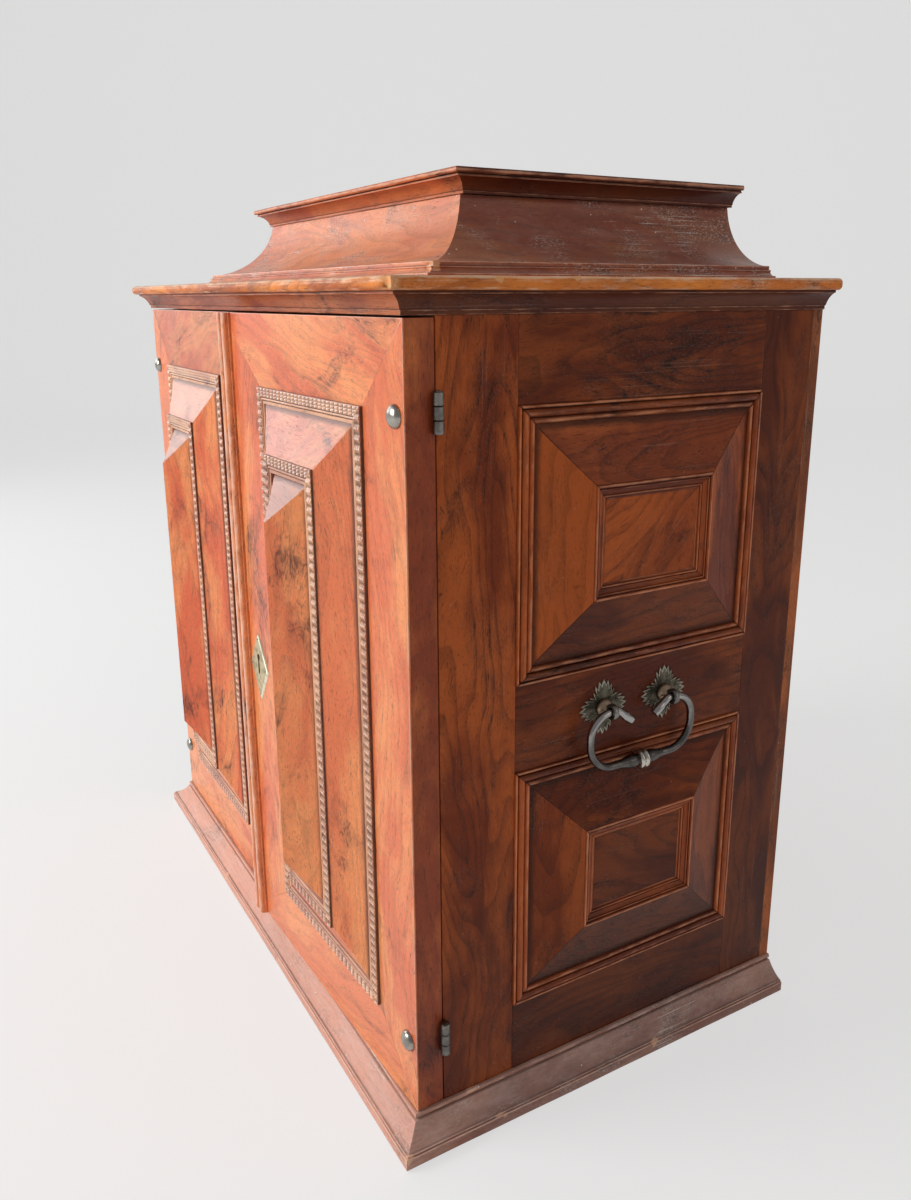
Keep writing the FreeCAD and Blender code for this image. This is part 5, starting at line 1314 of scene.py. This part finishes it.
class MakeHandles(bpy.types.Operator):
    """Iron bail handles, the eyes that carry them and the leaf rosettes behind"""
    bl_idname = "cabinet.handles"
    bl_label = "Handles"

    spacing = 57.2 * MM
    plate_t = 1.3 * MM
    leaf_r = 21.5 * MM
    hang = 43.5 * MM
    # Teeth and notches of one leaf: the share of its quarter turn and of its reach
    leaf_shares = ((0.0, 0.50), (0.10, 0.76), (0.14, 0.58), (0.24, 0.88), (0.285, 0.70), (0.375, 0.97),
                   (0.425, 0.82), (0.5, 1.02), (0.575, 0.82), (0.625, 0.97), (0.715, 0.70), (0.76, 0.88),
                   (0.86, 0.58), (0.90, 0.76))

    def execute(self, context):
        rosettes, eyes = Shape(), Shape()
        for mirror in (False, True):
            for side in (-1, 1):
                spot = BAIL_PIVOT + Vector((0, side * self.spacing / 2, 0))
                rosettes.add(self.leaf_plate(), side_plane(HALF_W, spot.y, spot.z), mirror=mirror)
                self.make_eye(eyes, spot, mirror)
            self.make_bail("left_bail" if mirror else "right_bail", mirror)
        rosettes.build("handle_rosettes", "bronze", "case", "bronze")
        eyes.build("handle_eyes", ("boss", "rubbed_iron"), "case", "iron")
        return {"FINISHED"}

    def leaf_plate(self):
        """Four toothed leaves round the boss, each with a raised midrib and veins"""
        shares = []
        for quarter in range(4):
            for number, (turn, reach) in enumerate(self.leaf_shares):
                after = self.leaf_shares[(number + 1) % len(self.leaf_shares)]
                far = after[0] + (1 if after[0] < turn else 0)
                for step in range(3):
                    part = turn + (far - turn) * step / 3
                    level = reach + (after[1] - reach) * step / 3
                    angle = math.pi / 2 * (quarter + part) + math.pi / 4
                    shares.append((angle, 1.0 * MM, self.leaf_r * level))

        def relief(angle, share):
            rib = math.cos(2 * (angle - math.pi / 4) + math.pi) ** 2
            across = (angle - math.pi / 4) % (math.pi / 2) / (math.pi / 2) - 0.5
            crest = math.exp(-(across * 13 * share) ** 2)
            vein = 0.5 + 0.5 * math.cos(2 * math.pi * (share * 6 - abs(across) * 5))
            body = 0.35 + 0.35 * rib + 0.5 * crest + 0.35 * vein * (1 - crest)
            rim = min(1.0, (1 - share) * 20)
            height = self.plate_t * (0.45 + 0.55 * rim * min(1.2, body)) if share < 1 else 0.0
            return height, 0.95 if share > 0.88 else crest * 0.5 - (1 - vein) * 0.6 * (1 - crest)

        levels = [0.0, 0.2, 0.32, 0.4, 0.48, 0.56, 0.64, 0.72, 0.79, 0.85, 0.9, 0.94, 0.975, 0.995, 1.0]
        return polar_relief(shares, levels, relief, caps=True)

    def make_eye(self, eyes, spot, mirror):
        boss = scaled([(0, 6.6), (0.5, 7.0), (1.5, 7.0), (2.8, 6.5), (4.0, 5.3), (4.8, 4.4), (5.6, 3.7),
                       (6.2, 3.3), (6.8, 3.1)])
        base = Vector((HALF_W + self.plate_t, spot.y, spot.z))
        eyes.add(turned(boss, 32, 0.45, 0.02), place(base, *FLAT), mirror=mirror)
        ring = eye_ring(6.0 * MM, 3.2 * MM, 4.6 * MM)
        eyes.add(ring, Matrix.Translation(spot), mirror=mirror, finish=1)

    def make_bail(self, name, mirror):
        """A round bar hanging from both eyes, its ends cut off inside them"""
        half = [(11, -10), (23.5, 0), (47, 0), (48, -43.5)]
        corners = [BAIL_PIVOT + Vector((0, y * MM, z * MM)) for y, z in half]
        corners += [BAIL_PIVOT + Vector((0, -y * MM, z * MM)) for y, z in reversed(half)]
        radii = [5 * MM, 18 * MM, 21 * MM]
        path = evened(rounded_path(corners, radii + radii[::-1], 12), 2.5 * MM)
        bar = sizes().bail_bar
        swell, rubbed = [], []
        total = len(path) - 1
        for number, point in enumerate(path):
            uneven = 1 + 0.025 * noise.noise(point / (9 * MM))
            end = min(number, total - number)
            swell.append(bar * uneven * (1.12 if end == 0 else 1.22 if end < 4 else 1.0))
            # Rubbed bright near the eyes; elsewhere the bar's colour is darker towards its bottom
            drop = (BAIL_PIVOT.z - point.z) / self.hang
            inner = abs(point.y - BAIL_PIVOT.y) < 34 * MM and drop < 0.6
            rubbed.append(1.15 if inner else 0.62 - 0.9 * max(0.0, drop))
        shape = Shape()
        shape.add(swept(path, swell, rubbed, 24), None, mirror=mirror)
        grip = BAIL_PIVOT + Vector((0, 0, -self.hang))
        run = [(-20, 2.9), (-17, 3.4), (-13, 4.4), (-9.5, 5.0), (-6.5, 4.9), (-4.4, 4.0), (-3.2, 3.6)]
        swelling = scaled(run)
        collar = [(-3.9, 3.7), (-3.8, 6.3), (-3.0, 7.3), (-2.0, 7.5), (-1.0, 7.0), (-0.4, 5.9), (0, 5.5)]
        collar += [(-along, radius) for along, radius in reversed(collar[:-1])]
        collar = scaled(collar)
        for way in (1, -1):
            shape.add(turned(swelling, 28, -0.5), place(grip, (0, way, 0), (0, 0, 1)), mirror=mirror)
        shape.add(turned(collar, 36), place(grip, (0, 1, 0), (0, 0, 1)), mirror=mirror, finish=1)
        shape.build(name, ("iron", "collar"), name + "_body", "iron", smooth=50)


class MakeLock(bpy.types.Operator):
    """Brass escutcheon, lock, its bolt and keeper, and the sliding bolt of the left door"""
    bl_idname = "cabinet.lock"
    bl_label = "Lock and bolt"

    half_w, half_h, plate_t = 19.5 * MM, 30.5 * MM, 1.4 * MM
    eye_y = -6.0 * MM
    keyhole_r, slot_half, slot_length, slot_top = 2.8 * MM, 1.5 * MM, 15.5 * MM, 3.0 * MM
    slot_corner = (1.49 * MM, -12.5 * MM)

    def execute(self, context):
        self.make_escutcheon()
        self.make_lock_case()
        self.make_bolts()
        for name, finish in (("lock_keeper", "rubbed_iron"), ("bolt_guides", "rubbed_iron"),
                             ("bolt_strike", "iron")):
            self.dress(name, finish)
        return {"FINISHED"}

    def dress(self, name, finish):
        """A finish and softened edges on a piece that keeps its built form"""
        piece = frame["nodes"][name]
        piece.data.materials.clear()
        piece.data.materials.append(finish_named(finish))
        soft = piece.modifiers.new("softened", "BEVEL")
        soft.width = 0.3 * MM
        soft.segments = 2
        soft.limit_method = "ANGLE"

    def make_escutcheon(self):
        low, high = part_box("escutcheon")
        middle = SWUNG.inverted() @ Vector(((low.x + high.x) / 2, (low.y + high.y) / 2, (low.z + high.z) / 2))
        half_w, half_h, thick, eye_y = self.half_w, self.half_h, self.plate_t, self.eye_y
        corner_x, corner_y = self.slot_corner
        corners = ((half_w, eye_y), (-half_w, eye_y), (0, half_h + eye_y), (0, eye_y - half_h),
                   (corner_x, corner_y), (-corner_x, corner_y))
        angles = sorted(set([2 * math.pi * k / 120 for k in range(120)]
                            + [math.atan2(y, x) % (2 * math.pi) for x, y in corners]))
        rims = []
        for angle in angles:
            across, up = math.cos(angle), math.sin(angle)
            reach = 0.2 * MM
            while self.in_keyhole(reach * across, reach * up):
                reach += 0.05 * MM
            outer = 0.5 * MM
            while abs(outer * across) / half_w + abs(outer * up - eye_y) / half_h < 1:
                outer += 0.02 * MM
            rims.append((angle, reach, outer))

        def relief(angle, share):
            edge = min(1.0, (1 - share) * 9)
            height = thick * (0.2 + 0.8 * math.sin(edge * math.pi / 2)) * (share < 1)
            return height, 0.8 if share > 0.88 else 0.2

        points, faces, wears = polar_relief(rims, [0.0, 0.04, 0.3, 0.6, 0.82, 0.9, 0.95, 0.985, 1.0], relief)
        total = len(rims)
        back = len(points)
        points += [(inner * math.cos(angle), inner * math.sin(angle), 0.0) for angle, inner, _ in rims]
        wears += [-0.5] * total
        faces += [(k, (k + 1) % total, back + (k + 1) % total, back + k) for k in range(total)]
        shape = Shape()
        where = front_plane(middle.x, FRONT_Y, middle.z - eye_y)
        shape.add((points, faces, wears), where)
        # Painted shade: a dark sheet inside the keyhole stands for the shade in the hole
        hollow = [(inner * 1.02 * math.cos(angle), inner * 1.02 * math.sin(angle), 0.06 * MM)
                  for angle, inner, _ in rims]
        shape.add((hollow, [tuple(range(total))], [0.0] * total), where, finish=1)
        shape.build("escutcheon", ("brass", "keyhole_painted_shade"), "right_door", "brass",
                    SWUNG, 30)
        pins = Shape()
        for x, z in ((14.5, 0), (-14.5, 0), (0, 25.5), (0, -25.5)):
            head = scaled([(0, 0.9), (0.25, 0.85), (0.5, 0.6), (0.65, 0.25)])
            spot = (middle.x + x * MM, FRONT_Y - 1.3 * MM, middle.z + z * MM)
            pins.add(turned(head, 16), place(spot, *OUTWARD))
        pins.build("escutcheon_pins", "rubbed_iron", "right_door", "brass", SWUNG)

    def in_keyhole(self, across, up):
        """The keyhole seen from a point just under its round part"""
        up -= self.slot_top
        in_slot = abs(across) < self.slot_half and -self.slot_length < up <= 0
        return math.hypot(across, up) < self.keyhole_r or in_slot

    def make_lock_case(self):
        """The built iron box with rounded rivets on its back plate"""
        self.dress("lock_case", "iron")
        low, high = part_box("lock_case")
        heads = Shape()
        for x in (low.x + 10 * MM, high.x - 10 * MM):
            for z in (low.z + 8 * MM, high.z - 8 * MM):
                face = high.y - (high.x - x) * math.sin(AJAR)
                dome = scaled([(0, 2.6), (0.5, 2.5), (1.0, 1.9), (1.3, 0.8)])
                heads.add(turned(dome, 20), place((x, face - 1.9 * MM, z), *INWARD))
        heads.build("lock_rivets", "rubbed_iron", "right_door", "iron", replaced=())

    def make_bolts(self):
        self.dress("lock_bolt", "bright_iron")
        low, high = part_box("door_bolt")
        radius = 3.5 * MM
        axis = ((low.x + high.x) / 2, low.y + radius, low.z)
        length = high.z - low.z
        bar = [(0, 2.4 * MM), (0.8 * MM, 3.3 * MM), (1.6 * MM, radius), (length * 0.5, radius * 0.985),
               (length - 3 * MM, radius), (length - 1 * MM, 3.0 * MM), (length, 2.2 * MM)]
        shape = Shape()
        shape.add(turned(bar, 28), place(axis, *UPRIGHT))
        grip = scaled([(0, 2.0), (3.5, 2.0), (4.5, 1.7), (6.0, 2.0), (7.4, 2.7), (8.6, 2.7), (9.3, 1.9),
                       (9.5, 0.7)])
        shape.add(turned(grip, 20), place((axis[0], axis[1], low.z + 11 * MM), *INWARD))
        shape.build("door_bolt", "rubbed_iron", "door_bolt_body", "iron")


class MakeStage(bpy.types.Operator):
    """Floor, lights and camera"""
    bl_idname = "cabinet.stage"
    bl_label = "Stage"

    def execute(self, context):
        self.make_floor()
        self.make_lights(context.scene)
        self.make_camera(context.scene)
        return {"FINISHED"}

    def make_floor(self):
        mesh = bpy.data.meshes.new("floor")
        reach, rise, back = 9.0, 9.0, 4.0
        rows = [(-reach, 0.0), (back, 0.0)]
        for degrees in range(10, 100, 10):
            rows.append((back + math.sin(math.radians(degrees)), 1.0 - math.cos(math.radians(degrees))))
        rows.append((back + 1.0, rise))
        points = [(x, y, z) for y, z in rows for x in (-reach, reach)]
        faces = [(2 * k, 2 * k + 1, 2 * k + 3, 2 * k + 2) for k in range(len(rows) - 1)]
        mesh.from_pydata(points, [], faces)
        mesh.shade_smooth()
        mesh.materials.append(self.floor_finish())
        floor = bpy.data.objects.new("floor", mesh)
        bpy.context.scene.collection.objects.link(floor)
        floor.location.z = -0.2 * MM
        floor.rotation_euler.z = math.radians(59.7)

    def floor_finish(self):
        """Pale matt card that still takes the cabinet's shadow"""
        finish = Finish("floor")
        finish.set("Base Color", (0.80, 0.80, 0.79))
        finish.set("Roughness", 0.9)
        finish.set("Specular IOR Level", 0.1)
        seen = [finish.node("ShaderNodeLightPath", {}, {}, "Is %s Ray" % ray)
                for ray in ("Camera", "Glossy", "Transmission")]
        glow = (seen[0] + seen[1] + seen[2]).clipped() * 0.6
        paper = finish.node("ShaderNodeEmission", {}, {"Color": WHITE, "Strength": 1.0})
        shader = Socket(finish, finish.shader.outputs[0])
        mixed = finish.node("ShaderNodeMixShader", {}, {0: glow, 1: shader, 2: paper})
        finish.feed(finish.tree.nodes["Material Output"].inputs["Surface"], mixed)
        return finish.material

    def make_lights(self, scene):
        stage = scene.cabinet_stage
        for name, spot, size, power in (("key", (-0.8, -2.45, 1.4), 1.3, stage.key),
                                        ("window", (-2.3, -1.15, 1.25), 1.3, stage.window),
                                        ("fill", (2.2, 1.2, 1.3), 1.4, stage.fill)):
            light = bpy.data.lights.new(name, "AREA")
            light.energy = power
            light.color = (1.0, 0.88, 0.76) if name == "fill" else WHITE
            light.size = size
            light.shape = "SQUARE"
            lamp = bpy.data.objects.new(name, light)
            scene.collection.objects.link(lamp)
            lamp.location = spot
            aim = Vector((0, 0, 0.3)) - Vector(spot)
            lamp.rotation_euler = aim.to_track_quat("-Z", "Y").to_euler()
        world = bpy.data.worlds.new("studio")
        world.use_nodes = True
        world.node_tree.nodes.clear()
        nodes = Nodes(world.node_tree)
        seen = [nodes.node("ShaderNodeLightPath", {}, {}, "Is %s Ray" % ray)
                for ray in ("Camera", "Transmission")]
        seen = nodes.node("ShaderNodeMath", {"operation": "MAXIMUM"}, dict(enumerate(seen)))
        even = nodes.node("ShaderNodeBackground", {}, {"Color": WHITE, "Strength": stage.sky})
        white = nodes.node("ShaderNodeBackground", {}, {"Color": WHITE})
        mixed = nodes.node("ShaderNodeMixShader", {}, {0: seen, 1: even, 2: white})
        output = world.node_tree.nodes.new("ShaderNodeOutputWorld")
        nodes.feed(output.inputs["Surface"], mixed)
        scene.world = world
        scene.view_settings.view_transform = "Standard"

    def make_camera(self, scene):
        """The photograph's view: a near eye just under the cornice, looking a little down"""
        frame_w, frame_h = 911.0, 1200.0
        focal, centre_x, centre_y = 993.02, 465.16, 565.43
        azimuth, elevation, roll = math.radians(59.703), math.radians(15.132), math.radians(-0.2408)
        eye = Vector((HALF_W + 531.3 * MM, FRONT_Y - 268.2 * MM, DOOR_LO.z + 571.6 * MM))
        back = Vector((math.sin(azimuth) * math.cos(elevation), -math.cos(azimuth) * math.cos(elevation),
                       math.sin(elevation)))
        right = (-back).cross(Vector((0, 0, 1))).normalized()
        up = right.cross(-back)
        rolled_right = right * math.cos(roll) + up * math.sin(roll)
        rolled_up = up * math.cos(roll) - right * math.sin(roll)
        camera = bpy.data.cameras.new("camera")
        camera.sensor_fit = "VERTICAL"
        camera.sensor_height = 36.0
        camera.lens = focal * camera.sensor_height / frame_h
        camera.shift_x = (frame_w / 2 - centre_x) / frame_h
        camera.shift_y = (centre_y - frame_h / 2) / frame_h
        camera.clip_start = 0.01
        camera.clip_end = 30.0
        seen = bpy.data.objects.new("camera", camera)
        scene.collection.objects.link(seen)
        turn = Matrix((rolled_right, rolled_up, back)).transposed().to_4x4()
        seen.matrix_world = Matrix.Translation(eye) @ turn
        scene.camera = seen


class CabinetPanel(bpy.types.Panel):
    """Buttons and settings of the cabinet"""
    bl_idname = "VIEW3D_PT_cabinet"
    bl_label = "Cabinet"
    bl_space_type = "VIEW_3D"
    bl_region_type = "UI"
    bl_category = "Cabinet"

    def draw(self, context):
        for place_name, group in GROUPS.items():
            for name in group.__annotations__:
                self.layout.prop(getattr(context.scene, place_name), name)
        for operator in OPERATORS:
            self.layout.operator(operator.bl_idname)


OPERATORS = (MakeStage, MakePlinth, MakeSides, MakeTop, MakeDoors, MakeCarcase, MakeDrawers, MakeHinges,
             MakeHandles, MakeLock)
GROUPS = {"cabinet_sizes": CabinetSizes, "cabinet_colours": CabinetColours, "cabinet_stage": CabinetStage}


def register():
    for group in GROUPS.values():
        bpy.utils.register_class(group)
    for name, group in GROUPS.items():
        setattr(bpy.types.Scene, name, PointerProperty(type=group))
    for operator in OPERATORS:
        bpy.utils.register_class(operator)
    bpy.utils.register_class(CabinetPanel)


def unregister():
    bpy.utils.unregister_class(CabinetPanel)
    for operator in reversed(OPERATORS):
        bpy.utils.unregister_class(operator)
    for name, group in GROUPS.items():
        delattr(bpy.types.Scene, name)
        bpy.utils.unregister_class(group)


def main():
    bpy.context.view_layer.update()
    register()
    for operator in OPERATORS:
        category, name = operator.bl_idname.split(".")
        getattr(getattr(bpy.ops, category), name)()


if __name__ == "__main__":
    main()
